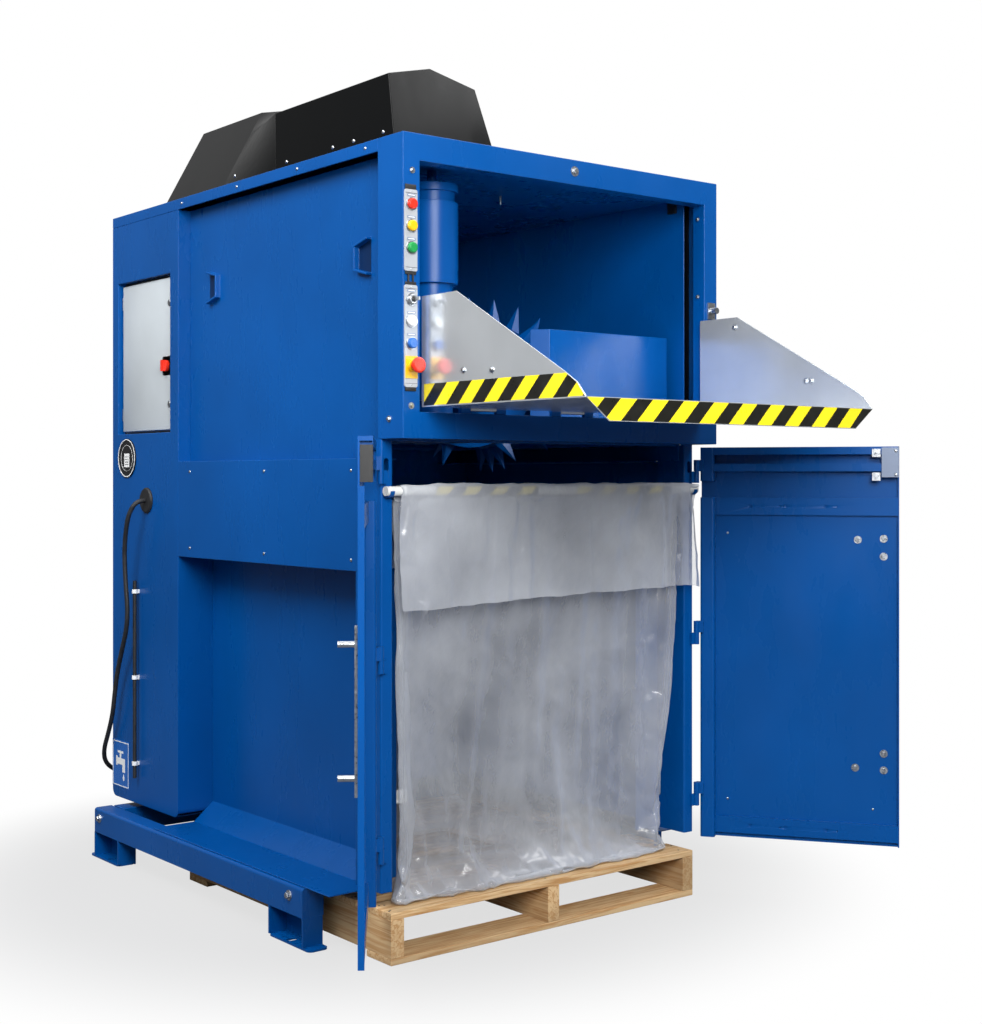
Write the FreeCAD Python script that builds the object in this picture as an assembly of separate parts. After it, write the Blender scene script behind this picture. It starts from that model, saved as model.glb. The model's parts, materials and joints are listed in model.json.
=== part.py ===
"""Rotary waste compactor that presses rubbish into a plastic bag standing on a pallet.

Millimetres. X to the right seen from the front, Y to the back, Z up.
The origin lies on the floor, in the middle of the four anchor slots.
"""
import FreeCAD, Part
import math
import os

V = FreeCAD.Vector

# Pallet, which sets the width and depth of the bag chamber
PALLET_SIZE = 1165.0
PALLET_HEIGHT = 143.0
PALLET_FROM_FRONT = 73.0
PALLET_OFF_CENTRE = 10.0
BOARD_THICK = 19.0
STRINGER_WIDTH = 44.0
STRINGERS = 3
TOP_BOARDS = 7
TOP_BOARD_WIDTH = 118.0
FLOOR_BOARDS = 3
FLOOR_BOARD_WIDTH = 120.0

# Overall sizes of the housing
PALLET_ROOM = 45.0
PALLET_REAR_ROOM = 58.0
CABINET_DEPTH = 504.0
HEIGHT = 2254.0
SHEET = 4.0
FIT = 0.3
RUNNING_FIT = 0.05
MOVING_GAP = 6.0

# Base rails, feet and anchor slots
RAIL_WIDTH = 70.0
RAIL_HEIGHT = 84.0
RAIL_OUT = 100.0
RAIL_FRONT = 347.0
RAIL_REAR = 71.0
RAIL_ROUND = 10.0
RAIL_SHEET = 5.0
RAIL_GAP = 21.0
ANCHOR_FROM_SIDE = 75.0
ANCHOR_FROM_END = 93.0
SLOT_LENGTH = 40.0
SLOT_WIDTH = 22.0
FOOT_HEIGHT = 88.0
FOOT_LENGTH = 190.0
FOOT_WIDTH = 66.0
FOOT_LIP = 34.0
FOOT_SHEET = 6.0
SOLE_ROUND = 16.0
CROSSBEAM = 80.0

# Upper front frame round the loading opening
SURROUND_HEIGHT = 822.0
SURROUND_DEPTH = 120.0
SURROUND_RETURN = 50.0
STILE_WIDTH = 56.0
TOP_RAIL = 73.0
BOTTOM_RAIL = 72.0

# Housing sides
ROOF_EDGE = 36.0
PANEL_RECESS = 45.0
BELT_DROP = 51.0
BELT_HEIGHT = 316.0
LOWER_RECESS = 133.0
SILL_RISE = 62.0
SILL_SLOPE = 74.0
POST_WIDTH = 40.0
POST_FRONT = 104.0
POST_DEPTH = 121.0
POST_ROUND = 6.0
POST_SLOT_LENGTH = 38.0
POST_SLOT_WIDTH = 16.0
POST_SLOT_IN = 18.0
POST_SLOT_DROP = 71.0
CABINET_ROUND = 28.0
GRIP_DEPTH = 18.0
GRIP_REACH = 62.0
GRIP_HEIGHT = 94.0
GRIP_SHEET = 7.0
GRIP_DROP = 307.0
GRIP_FROM_SURROUND = 96.0
GRIP_FROM_CABINET = 139.0

# Switch cabinet in the side of the rear cabinet
NICHE_IN = 58.0
NICHE_LENGTH = 400.0
NICHE_DROP = 240.0
NICHE_HEIGHT = 534.0
NICHE_DEPTH = 180.0
NICHE_FOLD = 40.0
ENCLOSURE_SETBACK = 28.0
ENCLOSURE_ROUND = 6.0
SWITCH_SIZE = 66.0
SWITCH_THICK = 14.0
SWITCH_ROUND = 6.0
SWITCH_FROM_EDGE = 50.0
SWITCH_UP = 226.0
KNOB_RADIUS = 19.0
KNOB_LENGTH = 22.0
KNOB_GRIP = 11.0

# Round plate, cable grommet, cable and drain hose on the rear cabinet
PLATE_RADIUS = 68.0
PLATE_THICK = 5.0
PLATE_RIM = 7.0
PLATE_DISH = 1.5
PLATE_FROM_REAR = 123.0
PLATE_DROP = 858.0
GROMMET_RADIUS = 44.0
GROMMET_FROM_REAR = 275.0
GROMMET_DROP = 1005.0
GROMMET_THICK = 9.0
HOSE_RADIUS = 6.5
HOSE_FROM_REAR = 212.0
HOSE_TOP = 970.0
HOSE_BOTTOM = 286.0
HOSE_OUT = 16.0
CLIP_WALL = 3.0
CLIP_HEIGHT = 14.0
CLIP_NECK = 10.0
CLIP_FROM_END = 44.0
CLIPS = 3
CABLE_RADIUS = 8.0
GLAND_RADIUS = 13.0
GLAND_LENGTH = 16.0
GLAND_IN = 130.0
GLAND_Z = 248.0
# Each point's distance from the side, and its share of the way back and down to the gland
CABLE_POINTS = ((-38.0, 0.0, 0.0), (-60.0, 0.069, 0.045), (-58.0, 0.172, 0.125), (-52.0, 0.233, 0.2),
                (-48.0, 0.227, 0.29), (-46.0, 0.192, 0.372), (-44.0, 0.227, 0.44), (-38.0, 0.384, 0.511),
                (-32.0, 0.57, 0.599), (-30.0, 0.666, 0.683), (-28.0, 0.735, 0.757), (-26.0, 0.872, 0.829),
                (-22.0, 1.037, 0.895), (2.0, 1.181, 0.949), (48.0, 1.243, 0.985), (104.0, 1.243, 1.0),
                (130.0, 1.153, 1.0))

# Roof hood
HOOD_LEFT = 60.0
HOOD_RIGHT = 417.0
HOOD_FRONT = 125.0
HOOD_JOINT = 765.0
HOOD_FOLD = 1122.0
HOOD_REAR = 1527.0
HOOD_SHOULDER = 196.0
HOOD_RIDGE = 232.0
HOOD_RIDGE_X = 206.0
HOOD_FAR_SHOULDER_X = 363.0
HOOD_LEAN = 34.0
HOOD_HIGH = 287.0
HOOD_HIGH_X = 218.0

# Bag doors
DOOR_THICK = 36.0
DOOR_SHEET = 4.0
DOOR_AXIS_OUT = 7.0
DOOR_AXIS_FROM_FRONT = 95.0
DOOR_BEHIND_AXIS = 11.0
DOOR_BOTTOM = 175.0
DOOR_TOP_GAP = 8.0
DOOR_MEETING_X = -19.0
DOOR_MIDDLE_GAP = 6.0
DOOR_STILE = 46.0
DOOR_STILE_ROUND = 8.0
DOOR_HINGE_GAP = 10.0
DOOR_OPEN = 125.0
DOOR_RIB = 24.0
DOOR_RIB_PITCH = 53.0
DOOR_BAND = 56.0
DOOR_BAND_DEPTH = 16.0
DOOR_BAND_HOLES = (158.0, 250.0, 269.0, 394.0, 429.0)
DOOR_HOLE_RADIUS = 6.0
DOOR_FOOT = 52.0
DOOR_FOOT_RISE = 14.0
DOOR_EDGE = 16.0
DOOR_SWITCH_HEIGHT = 88.0
DOOR_SWITCH_DROP = 20.0
DOOR_SWITCH_DEPTH = 12.0
DOOR_SWITCH_ROOM = 9.0
HINGE_RADIUS = 9.0
HINGE_HEIGHT = 74.0
HINGE_PIN = 5.0
HINGE_STRAP = 12.0
HINGE_LUG_IN = 14.0
HINGE_FROM_TOP = 77.0
HINGE_FROM_BOTTOM = 139.0
STRIKER_WIDTH = 52.0
STRIKER_HEIGHT = 93.0
STRIKER_THICK = 3.0
LATCH_FROM_EDGE = 34.0
LATCH_WIDTH = 24.0
LATCH_THICK = 8.0
LATCH_BOTTOM = 399.0
LATCH_LENGTH = 404.0
LATCH_GRIP_IN = 44.0
LATCH_GRIP_RADIUS = 8.0
LATCH_GRIP_LENGTH = 40.0

# Bag bar
BAR_RADIUS = 13.5
BAR_DROP = 142.0
BAR_FROM_FRONT = 88.0
BAR_NOTCH = 52.0
BAR_HOLDER_WALL = 4.0
BAR_HOLDER_THICK = 12.0

# Loading flap
FLAP_PIVOT_FROM_FRONT = 6.0
FLAP_LENGTH = 660.0
FLAP_SIDE_GAP = 10.0
FLAP_SHEET = 3.0
FLAP_LIP_HEIGHT = 58.0
FLAP_LIP_TAPER = 76.0
FLAP_WING_HEIGHT = 300.0
FLAP_WING_FLAT = 155.0
FLAP_WING_END = 46.0
FLAP_WING_RISE = 18.0
FLAP_WING_STEP = 8.0
FLAP_WING_END_FROM_LIP = 70.0
FLAP_WING_STEP_FROM_LIP = 28.0
FLAP_HINGE_RADIUS = 7.0
FLAP_HINGE_PIN = 3.0
FLAP_HINGE_SPACING = 330.0
FLAP_KNUCKLE = 90.0
FLAP_BARREL = 34.0
FLAP_KNUCKLE_GAP = 1.0
CATCH_WIDTH = 32.0
CATCH_HEIGHT = 52.0
CATCH_THICK = 4.0
CATCH_IN = 26.0
CATCH_DROP = 404.0
CATCH_KNOB = 10.0
CATCH_KNOB_LENGTH = 22.0

# Feed chamber
CHAMBER_WALL_FRONT = 93.0
CHAMBER_WALL_GAP = 3.0
GUARD_LEFT = 639.0
GUARD_RIGHT_IN = 78.0
GUARD_HEIGHT = 333.0
GUARD_FROM_FRONT = 143.0
GUARD_FOLD = 42.0
SHELF_THICK = 12.0
SHELF_DROP = 8.0
SHELF_FRAME = 84.0
SHELF_FRONT = 56.0
SHELF_REAR = 30.0
SHELF_CORNER_X = 330.0
SHELF_CORNER_Y = 290.0

# Rotor: swivel column, arm and spiked drum
COLUMN_X = 262.0
COLUMN_Y = 226.0
COLUMN_RADIUS = 76.0
COLUMN_NECK = 66.0
COLUMN_NECK_HEIGHT = 29.0
COLUMN_RING_HEIGHT = 23.0
COLUMN_ROD = 14.0
COLUMN_LOW_RADIUS = 60.0
COLUMN_TOP_DROP = 136.0
COLUMN_BODY_HEIGHT = 235.0
ARM_ANGLE = 35.6
ARM_HEIGHT = 150.0
ARM_WIDTH = 120.0
ARM_ROUND = 12.0
ARM_ABOVE_SHELF = 182.0
ARM_HUB_WALL = 24.0
ARM_REACH = 369.0
BEARING_RADIUS = 66.0
BEARING_LENGTH = 14.0
DRUM_GAP = 6.0
DRUM_RADIUS = 200.0
DRUM_LENGTH = 300.0
DRUM_DOME = 38.0
DRUM_DOME_SHARE = 0.55
SHAFT_RADIUS = 32.0
SHAFT_SEAT = 60.0
SPIKE_LENGTH = 78.0
SPIKE_BASE = 56.0
SPIKE_THICK = 26.0
SPIKE_SUNK = 12.0
SPIKE_LEAN = 18.0
SPIKE_ROWS = 4
SPIKES_PER_ROW = 7

# Control boxes
BOX_IN = 3.0
BOX_WIDTH = 41.0
BOX_ROUND = 5.0
BOX_PROUD = 6.0
UPPER_BOX_DROP = 155.0
UPPER_BOX_HEIGHT = 219.0
LOWER_BOX_DROP = 411.0
LOWER_BOX_HEIGHT = 274.0
BUTTON_RADIUS = 14.5
BUTTON_LENGTH = 13.0
BUTTON_EDGE = 3.0
BUTTON_PITCH = 58.7
BUTTON_FROM_TOP = 39.0
STOP_FROM_TOP = 216.5
STOP_RADIUS = 21.0
STOP_NECK = 11.0
STOP_STEM = 20.0
STOP_CONE = 8.0
STOP_CAP = 10.0
STOP_EDGE = 4.0
STOP_TRAVEL = 8.0
STOP_COLLAR_WALL = 4.0
STOP_COLLAR_LENGTH = 14.0
STOP_FIELD = 40.0
STOP_FIELD_UP = 26.0
STOP_FIELD_DOWN = 34.0
STOP_FIELD_THICK = 2.0

# Bag
BAG_SKIN = 6.0
BAG_REAR_GAP = 106.0
BAG_SIDE_GAP = 10.0
BAG_POST_GAP = 20.0
BAG_CORNER = 40.0
BAG_BULGE = 28.0
BAG_MOUTH_DROP = 28.0
CUFF_SIDE = 56.0
CUFF_LENGTH = 330.0
CUFF_SKIN = 4.0

# Places worked out from the sizes above
WIDTH = PALLET_SIZE + PALLET_ROOM
CABINET_FRONT = PALLET_FROM_FRONT + PALLET_SIZE + PALLET_REAR_ROOM
DEPTH = CABINET_FRONT + CABINET_DEPTH
RAIL_LENGTH = DEPTH - RAIL_FRONT - RAIL_REAR
ANCHOR_SPACING_X = WIDTH + 2 * ANCHOR_FROM_SIDE
ANCHOR_SPACING_Y = RAIL_LENGTH - 2 * ANCHOR_FROM_END
ANCHOR_FROM_FRONT = RAIL_FRONT + ANCHOR_FROM_END
LEFT = -WIDTH / 2
RIGHT = WIDTH / 2
FRONT = -ANCHOR_SPACING_Y / 2 - ANCHOR_FROM_FRONT
REAR = FRONT + DEPTH
RAIL_TOP = FOOT_HEIGHT + RAIL_HEIGHT
SURROUND_BOTTOM = HEIGHT - SURROUND_HEIGHT
OPENING_LEFT = LEFT + STILE_WIDTH
OPENING_RIGHT = RIGHT - STILE_WIDTH
OPENING_TOP = HEIGHT - TOP_RAIL
OPENING_BOTTOM = SURROUND_BOTTOM + BOTTOM_RAIL
BELT_TOP = SURROUND_BOTTOM - BELT_DROP
BELT_BOTTOM = BELT_TOP - BELT_HEIGHT
CABINET_Y = FRONT + CABINET_FRONT
CABINET_BOTTOM = RAIL_TOP + RAIL_GAP
ROOF_UNDER = HEIGHT - ROOF_EDGE
NICHE_Y = CABINET_Y + NICHE_IN
NICHE_BOTTOM = HEIGHT - NICHE_DROP - NICHE_HEIGHT
DOOR_TOP = SURROUND_BOTTOM - DOOR_TOP_GAP
DOOR_AXIS_Y = FRONT + DOOR_AXIS_FROM_FRONT
DOOR_FACE = DOOR_AXIS_Y - DOOR_BEHIND_AXIS - DOOR_THICK
LEFT_DOOR_END = DOOR_MEETING_X - DOOR_MIDDLE_GAP / 2
RIGHT_DOOR_END = -DOOR_MEETING_X - DOOR_MIDDLE_GAP / 2
HINGE_TOP = DOOR_TOP - HINGE_FROM_TOP
HINGE_LOW = DOOR_BOTTOM + HINGE_FROM_BOTTOM
HINGE_LEVELS = (HINGE_LOW, (HINGE_LOW + HINGE_TOP) / 2, HINGE_TOP)
BAR_Z = SURROUND_BOTTOM - BAR_DROP
FLAP_Z = OPENING_BOTTOM + FLAP_HINGE_RADIUS + MOVING_GAP
FLAP_PIVOT_Y = FRONT + FLAP_PIVOT_FROM_FRONT
FLAP_HINGES = (-FLAP_HINGE_SPACING, 0.0, FLAP_HINGE_SPACING)
CHAMBER_RIGHT = OPENING_RIGHT + CHAMBER_WALL_GAP
SHELF_TOP = SURROUND_BOTTOM + SHELF_DROP
ARM_Z = SHELF_TOP + ARM_ABOVE_SHELF
COLUMN_BODY_TOP = HEIGHT - COLUMN_TOP_DROP
DRUM_NEAR = ARM_REACH + BEARING_LENGTH + DRUM_GAP
UPPER_BOX_TOP = HEIGHT - UPPER_BOX_DROP
LOWER_BOX_TOP = HEIGHT - LOWER_BOX_DROP
BUTTON_X = LEFT + BOX_IN + BOX_WIDTH / 2
BAG_MOUTH_Z = BAR_Z - BAG_MOUTH_DROP
BAG_FRONT = BAR_FROM_FRONT + BAR_RADIUS + FIT
BAG_REAR = CABINET_FRONT - BAG_REAR_GAP


def box(x0, x1, y0, y1, z0, z1):
    """Block between two corners."""
    return Part.makeBox(x1 - x0, y1 - y0, z1 - z0, V(x0, y0, z0))


def rod(start, direction, radius, length):
    """Round bar from a point along a direction."""
    return Part.makeCylinder(radius, length, start, direction)


def prism(points, along):
    """Flat outline of points pushed along a vector."""
    return Part.Face(Part.makePolygon(points + [points[0]])).extrude(along)


def edges_along(shape, direction):
    """Straight edges that run along a direction."""
    found = []
    for edge in shape.Edges:
        if isinstance(edge.Curve, Part.Line) and abs(edge.Curve.Direction.dot(direction)) > 0.999:
            found.append(edge)
    return found


def rounded(shape, direction, radius, keep=lambda edge: True):
    """Shape with its edges along a direction rounded."""
    return shape.makeFillet(radius, [edge for edge in edges_along(shape, direction) if keep(edge)])


def mirrored(shape):
    """Same shape on the other side of the middle plane."""
    return shape.mirror(V(0, 0, 0), V(1, 0, 0))


def turned(shape, centre, axis, degrees):
    """Copy of a shape turned about an axis."""
    copy = shape.copy()
    copy.rotate(centre, axis, degrees)
    return copy


def joined(shapes):
    """Shapes fused to one, without seams."""
    return shapes[0].fuse(shapes[1:]).removeSplitter()


def folded_sheet(points, thickness, along):
    """Sheet of even thickness that follows a polyline and is pushed along a vector.

    The sheet lies on the left of the line, seen against the vector.
    """
    side = V(along).normalize()
    runs = [(points[i + 1] - points[i]).normalize() for i in range(len(points) - 1)]
    normals = [side.cross(run) for run in runs]
    inner = [points[0] + normals[0] * thickness]
    for i in range(1, len(points) - 1):
        mitre = (normals[i - 1] + normals[i]).normalize()
        inner.append(points[i] + mitre * (thickness / mitre.dot(normals[i])))
    inner.append(points[-1] + normals[-1] * thickness)
    return prism(points + inner[::-1], along)


def rail():
    """Left base rail, a channel with its open side down and closed ends."""
    x0 = LEFT - RAIL_OUT
    x1 = x0 + RAIL_WIDTH
    y0 = FRONT + RAIL_FRONT
    y1 = y0 + RAIL_LENGTH
    block = box(x0, x1, y0, y1, FOOT_HEIGHT, RAIL_TOP)
    block = rounded(block, V(0, 1, 0), RAIL_ROUND, lambda edge: edge.Vertexes[0].Z > RAIL_TOP - 1)
    hollow = box(x0 + RAIL_SHEET, x1 - RAIL_SHEET, y0 + RAIL_SHEET, y1 - RAIL_SHEET,
                 FOOT_HEIGHT, RAIL_TOP - RAIL_SHEET)
    return block.cut(hollow)


def upright_slot(x, y, z, length, width, depth):
    """Slotted hole through a front face, that stands upright."""
    half = (length - width) / 2
    ends = [rod(V(x, y, z + side * half), V(0, 1, 0), width / 2, depth) for side in (-1, 1)]
    middle = box(x - width / 2, x + width / 2, y, y + depth, z - half, z + half)
    return ends[0].fuse([middle, ends[1]])


def slot(x, y, z0, z1):
    """Slotted hole that runs along X."""
    half = (SLOT_LENGTH - SLOT_WIDTH) / 2
    ends = [rod(V(x + side * half, y, z0), V(0, 0, 1), SLOT_WIDTH / 2, z1 - z0) for side in (-1, 1)]
    middle = box(x - half, x + half, y - SLOT_WIDTH / 2, y + SLOT_WIDTH / 2, z0, z1)
    return ends[0].fuse([middle, ends[1]])


def foot(slot_y, toe):
    """Left foot folded from plate, with a rounded sole that reaches past its toe side."""
    x0 = LEFT - RAIL_OUT
    x1 = x0 + FOOT_WIDTH
    y0 = slot_y - FOOT_LENGTH / 2
    y1 = slot_y + FOOT_LENGTH / 2
    sole_y0 = y0 - FOOT_LIP if toe < 0 else y0
    sole_y1 = y1 + FOOT_LIP if toe > 0 else y1
    sole = box(x0, x1, sole_y0, sole_y1, 0, FOOT_SHEET)
    sole = rounded(sole, V(0, 0, 1), SOLE_ROUND)
    back = box(x1 - FOOT_SHEET, x1, y0, y1, 0, FOOT_HEIGHT)
    front_flange = box(x0, x1, y0, y0 + FOOT_SHEET, FOOT_SHEET, FOOT_HEIGHT)
    rear_flange = box(x0, x1, y1 - FOOT_SHEET, y1, FOOT_SHEET, FOOT_HEIGHT)
    body = joined([back, front_flange, rear_flange, sole])
    return body.cut(slot(-ANCHOR_SPACING_X / 2, slot_y, -1, FOOT_SHEET + 1))


def crossbeam():
    """Beam between the two base rails below the rear cabinet."""
    x1 = -(LEFT - RAIL_OUT) - RAIL_WIDTH
    y1 = FRONT + RAIL_FRONT + RAIL_LENGTH - RAIL_SHEET
    y0 = y1 - CROSSBEAM
    outer = box(-x1, x1, y0, y1, RAIL_TOP - CROSSBEAM, RAIL_TOP)
    inner = box(-x1, x1, y0 + RAIL_SHEET, y1 - RAIL_SHEET, RAIL_TOP - CROSSBEAM, RAIL_TOP - RAIL_SHEET)
    return outer.cut(inner)


def lower_wall():
    """Left wall of the bag chamber with its folded sill that reaches out to the base rail."""
    y0 = FRONT + POST_FRONT + POST_DEPTH
    inner_x = LEFT + LOWER_RECESS
    rail_x = LEFT - RAIL_OUT + RAIL_ROUND
    line = [V(inner_x, y0, BELT_BOTTOM),
            V(inner_x, y0, RAIL_TOP + SILL_RISE),
            V(inner_x - SILL_SLOPE, y0, RAIL_TOP),
            V(rail_x, y0, RAIL_TOP)]
    wall = folded_sheet(line, SHEET, V(0, CABINET_Y - y0, 0))
    front_fold = box(LEFT, inner_x + SHEET, y0, y0 + SHEET, CABINET_BOTTOM, BELT_BOTTOM)
    return joined([wall, front_fold])


def belt():
    """Left belt, a flat box girder between the recessed upper panel and the lower wall."""
    y0 = FRONT + POST_FRONT + POST_DEPTH
    depth = LOWER_RECESS + SHEET
    outer = box(LEFT, LEFT + depth, y0, CABINET_Y, BELT_BOTTOM, BELT_TOP)
    inner = box(LEFT + SHEET, LEFT + depth, y0, CABINET_Y, BELT_BOTTOM + SHEET, BELT_TOP - SHEET)
    return outer.cut(inner)


def grip(y, reach):
    """Half-hexagon hand grip of bent strip, which stands out of the recessed panel."""
    x = LEFT + PANEL_RECESS
    z = HEIGHT - GRIP_DROP
    slope = GRIP_HEIGHT / 3
    line = [V(x, y, z + GRIP_HEIGHT / 2), V(x, y + reach, z + GRIP_HEIGHT / 2 - slope / 2),
            V(x, y + reach, z - GRIP_HEIGHT / 2 + slope / 2), V(x, y, z - GRIP_HEIGHT / 2)]
    if reach > 0:
        line.reverse()
    return folded_sheet(line, GRIP_SHEET, V(-GRIP_DEPTH, 0, 0))


def upper_panel():
    """Left recessed panel beside the feed chamber, with a hand grip near each end."""
    x0 = LEFT + PANEL_RECESS
    y0 = FRONT + SURROUND_DEPTH
    sheet = box(x0, x0 + SHEET, y0, CABINET_Y, BELT_TOP, ROOF_UNDER)
    front_grip = grip(y0 + GRIP_FROM_SURROUND, GRIP_REACH)
    rear_grip = grip(CABINET_Y - GRIP_FROM_CABINET, -GRIP_REACH)
    return joined([sheet, front_grip, rear_grip])


def post():
    """Left corner post, folded to a channel that is open to the back, with a slot near its top."""
    y0 = FRONT + POST_FRONT
    y1 = y0 + POST_DEPTH
    outer = box(LEFT, LEFT + POST_WIDTH, y0, y1, CABINET_BOTTOM, SURROUND_BOTTOM)
    outer = rounded(outer, V(0, 0, 1), POST_ROUND, lambda edge: edge.Vertexes[0].Y < y0 + 1)
    inner = box(LEFT + SHEET, LEFT + POST_WIDTH - SHEET, y0 + SHEET, y1, CABINET_BOTTOM, SURROUND_BOTTOM)
    hole = upright_slot(LEFT + POST_SLOT_IN, y0 - 1, SURROUND_BOTTOM - POST_SLOT_DROP,
                        POST_SLOT_LENGTH, POST_SLOT_WIDTH, SHEET + 2)
    return outer.cut(inner).cut(hole)


def surround():
    """Folded frame round the loading opening, open at the back."""
    y1 = FRONT + SURROUND_DEPTH
    block = box(LEFT, RIGHT, FRONT, y1, SURROUND_BOTTOM, HEIGHT)
    pocket = box(LEFT + SHEET, RIGHT - SHEET, FRONT + SHEET, y1, SURROUND_BOTTOM + SHEET, HEIGHT - SHEET)
    collar = box(OPENING_LEFT - SHEET, OPENING_RIGHT + SHEET, FRONT, FRONT + SURROUND_RETURN,
                 OPENING_BOTTOM - SHEET, OPENING_TOP + SHEET)
    opening = box(OPENING_LEFT, OPENING_RIGHT, FRONT - 1, y1 + 1, OPENING_BOTTOM, OPENING_TOP)
    return block.cut(pocket.cut(collar)).cut(opening)


def roof():
    """Roof tray with folded edges."""
    y0 = FRONT + SURROUND_DEPTH
    outer = box(LEFT, RIGHT, y0, REAR, ROOF_UNDER, HEIGHT)
    inner = box(LEFT + SHEET, RIGHT - SHEET, y0, REAR - SHEET, ROOF_UNDER, HEIGHT - SHEET)
    return outer.cut(inner)


def rear_cabinet():
    """Machine cabinet behind the chambers, with the niche of the switch cabinet in its left side."""
    outer = box(LEFT, RIGHT, CABINET_Y, REAR, CABINET_BOTTOM, ROOF_UNDER)
    outer = rounded(outer, V(1, 0, 0), CABINET_ROUND, lambda edge: edge.Vertexes[0].Z < CABINET_BOTTOM + 1)
    inner = box(LEFT + SHEET, RIGHT - SHEET, CABINET_Y + SHEET, REAR - SHEET,
                CABINET_BOTTOM + SHEET, ROOF_UNDER)
    y0 = NICHE_Y
    y1 = y0 + NICHE_LENGTH
    z1 = NICHE_BOTTOM + NICHE_HEIGHT
    niche = box(LEFT - 1, LEFT + NICHE_FOLD + 1, y0, y1, NICHE_BOTTOM, z1)
    folds = box(LEFT, LEFT + NICHE_FOLD, y0 - SHEET, y1 + SHEET, NICHE_BOTTOM - SHEET, z1 + SHEET)
    return joined([outer.cut(inner), folds]).cut(niche)


def electrical_enclosure():
    """Pale switch cabinet that fills the niche, its door a little behind the housing."""
    x0 = LEFT + ENCLOSURE_SETBACK
    block = box(x0, LEFT + NICHE_DEPTH, NICHE_Y + FIT, NICHE_Y + NICHE_LENGTH - FIT,
                NICHE_BOTTOM + FIT, NICHE_BOTTOM + NICHE_HEIGHT - FIT)
    return rounded(block, V(1, 0, 0), ENCLOSURE_ROUND)


def switch_place():
    """Middle of the main switch on the enclosure's door."""
    return V(LEFT + ENCLOSURE_SETBACK, NICHE_Y + SWITCH_FROM_EDGE, NICHE_BOTTOM + SWITCH_UP)


def main_switch():
    """Square plate of the main switch."""
    p = switch_place()
    half = SWITCH_SIZE / 2
    plate = box(p.x - SWITCH_THICK, p.x, p.y - half, p.y + half, p.z - half, p.z + half)
    return rounded(plate, V(1, 0, 0), SWITCH_ROUND)


def main_switch_knob():
    """Turning knob of the main switch with its grip bar."""
    p = switch_place()
    start = V(p.x - SWITCH_THICK - FIT, p.y, p.z)
    disc_length = KNOB_LENGTH / 2
    disc = rod(start, V(-1, 0, 0), KNOB_RADIUS, disc_length)
    grip_bar = box(start.x - KNOB_LENGTH, start.x - disc_length, p.y - KNOB_GRIP / 2, p.y + KNOB_GRIP / 2,
                   p.z - KNOB_RADIUS, p.z + KNOB_RADIUS)
    return joined([disc, grip_bar])


def side_place(from_rear, drop):
    """Point on the left side of the rear cabinet."""
    return V(LEFT, REAR - from_rear, HEIGHT - drop)


def round_plate():
    """Bare round plate with a raised rim."""
    centre = side_place(PLATE_FROM_REAR, PLATE_DROP)
    disc = rod(centre, V(-1, 0, 0), PLATE_RADIUS, PLATE_THICK)
    dish = rod(centre + V(-PLATE_THICK, 0, 0), V(1, 0, 0), PLATE_RADIUS - PLATE_RIM, PLATE_DISH)
    return disc.cut(dish)


def cable_grommet():
    """Round rubber grommet that the cable comes out of."""
    disc = rod(side_place(GROMMET_FROM_REAR, GROMMET_DROP), V(-1, 0, 0), GROMMET_RADIUS, GROMMET_THICK)
    edge = [e for e in disc.Edges if isinstance(e.Curve, Part.Circle) and e.Curve.Center.x < LEFT - 1]
    return disc.makeChamfer(GROMMET_THICK / 2, edge)


def drain_hose():
    """Straight hose held by clips on the rear cabinet."""
    centre = V(LEFT - HOSE_OUT, REAR - HOSE_FROM_REAR, HOSE_BOTTOM)
    return rod(centre, V(0, 0, 1), HOSE_RADIUS, HOSE_TOP - HOSE_BOTTOM)


def hose_clip(z):
    """Clip that grips the hose, with its foot on the side of the cabinet."""
    centre = V(LEFT - HOSE_OUT, REAR - HOSE_FROM_REAR, z)
    ring = rod(centre, V(0, 0, 1), HOSE_RADIUS + CLIP_WALL, CLIP_HEIGHT)
    bore = rod(centre, V(0, 0, 1), HOSE_RADIUS + FIT, CLIP_HEIGHT)
    neck = box(centre.x, LEFT, centre.y - CLIP_NECK / 2, centre.y + CLIP_NECK / 2, z, z + CLIP_HEIGHT)
    return joined([ring, neck]).cut(bore)


def hose_clips():
    """Evenly spaced clips along the hose."""
    low = HOSE_BOTTOM + CLIP_FROM_END
    high = HOSE_TOP - CLIP_FROM_END
    return Part.makeCompound([hose_clip(low + (high - low) * i / (CLIPS - 1)) for i in range(CLIPS)])


def cable_route():
    """Points of the cable from the grommet, down the side and round the rear corner to its gland."""
    start = side_place(GROMMET_FROM_REAR, GROMMET_DROP) + V(-GROMMET_THICK - FIT, 0, 0)
    end = V(LEFT + GLAND_IN, REAR + GLAND_LENGTH + FIT, GLAND_Z)
    back = end.y - start.y
    down = start.z - end.z
    bends = []
    for out, along, drop in CABLE_POINTS:
        bends.append(V(LEFT + out, start.y + back * along, start.z - down * drop))
    return [start] + bends + [end]


def cable_path(points):
    """Straight runs joined by tangent arcs, each arc as large as its runs allow."""
    edges = []
    start = points[0]
    for i in range(1, len(points) - 1):
        corner = points[i]
        back = points[i - 1] - corner
        ahead = points[i + 1] - corner
        turn = math.pi - back.getAngle(ahead)
        reach = 0.45 * min(back.Length, ahead.Length)
        radius = reach / math.tan(turn / 2)
        back.normalize()
        ahead.normalize()
        first = corner + back * reach
        last = corner + ahead * reach
        middle = corner + (back + ahead).normalize() * (radius / math.cos(turn / 2) - radius)
        print("cable radius", round(radius), "at point", i)
        edges.append(Part.LineSegment(start, first).toShape())
        edges.append(Part.Arc(first, middle, last).toShape())
        start = last
    edges.append(Part.LineSegment(start, points[-1]).toShape())
    return Part.Wire(edges)


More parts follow.
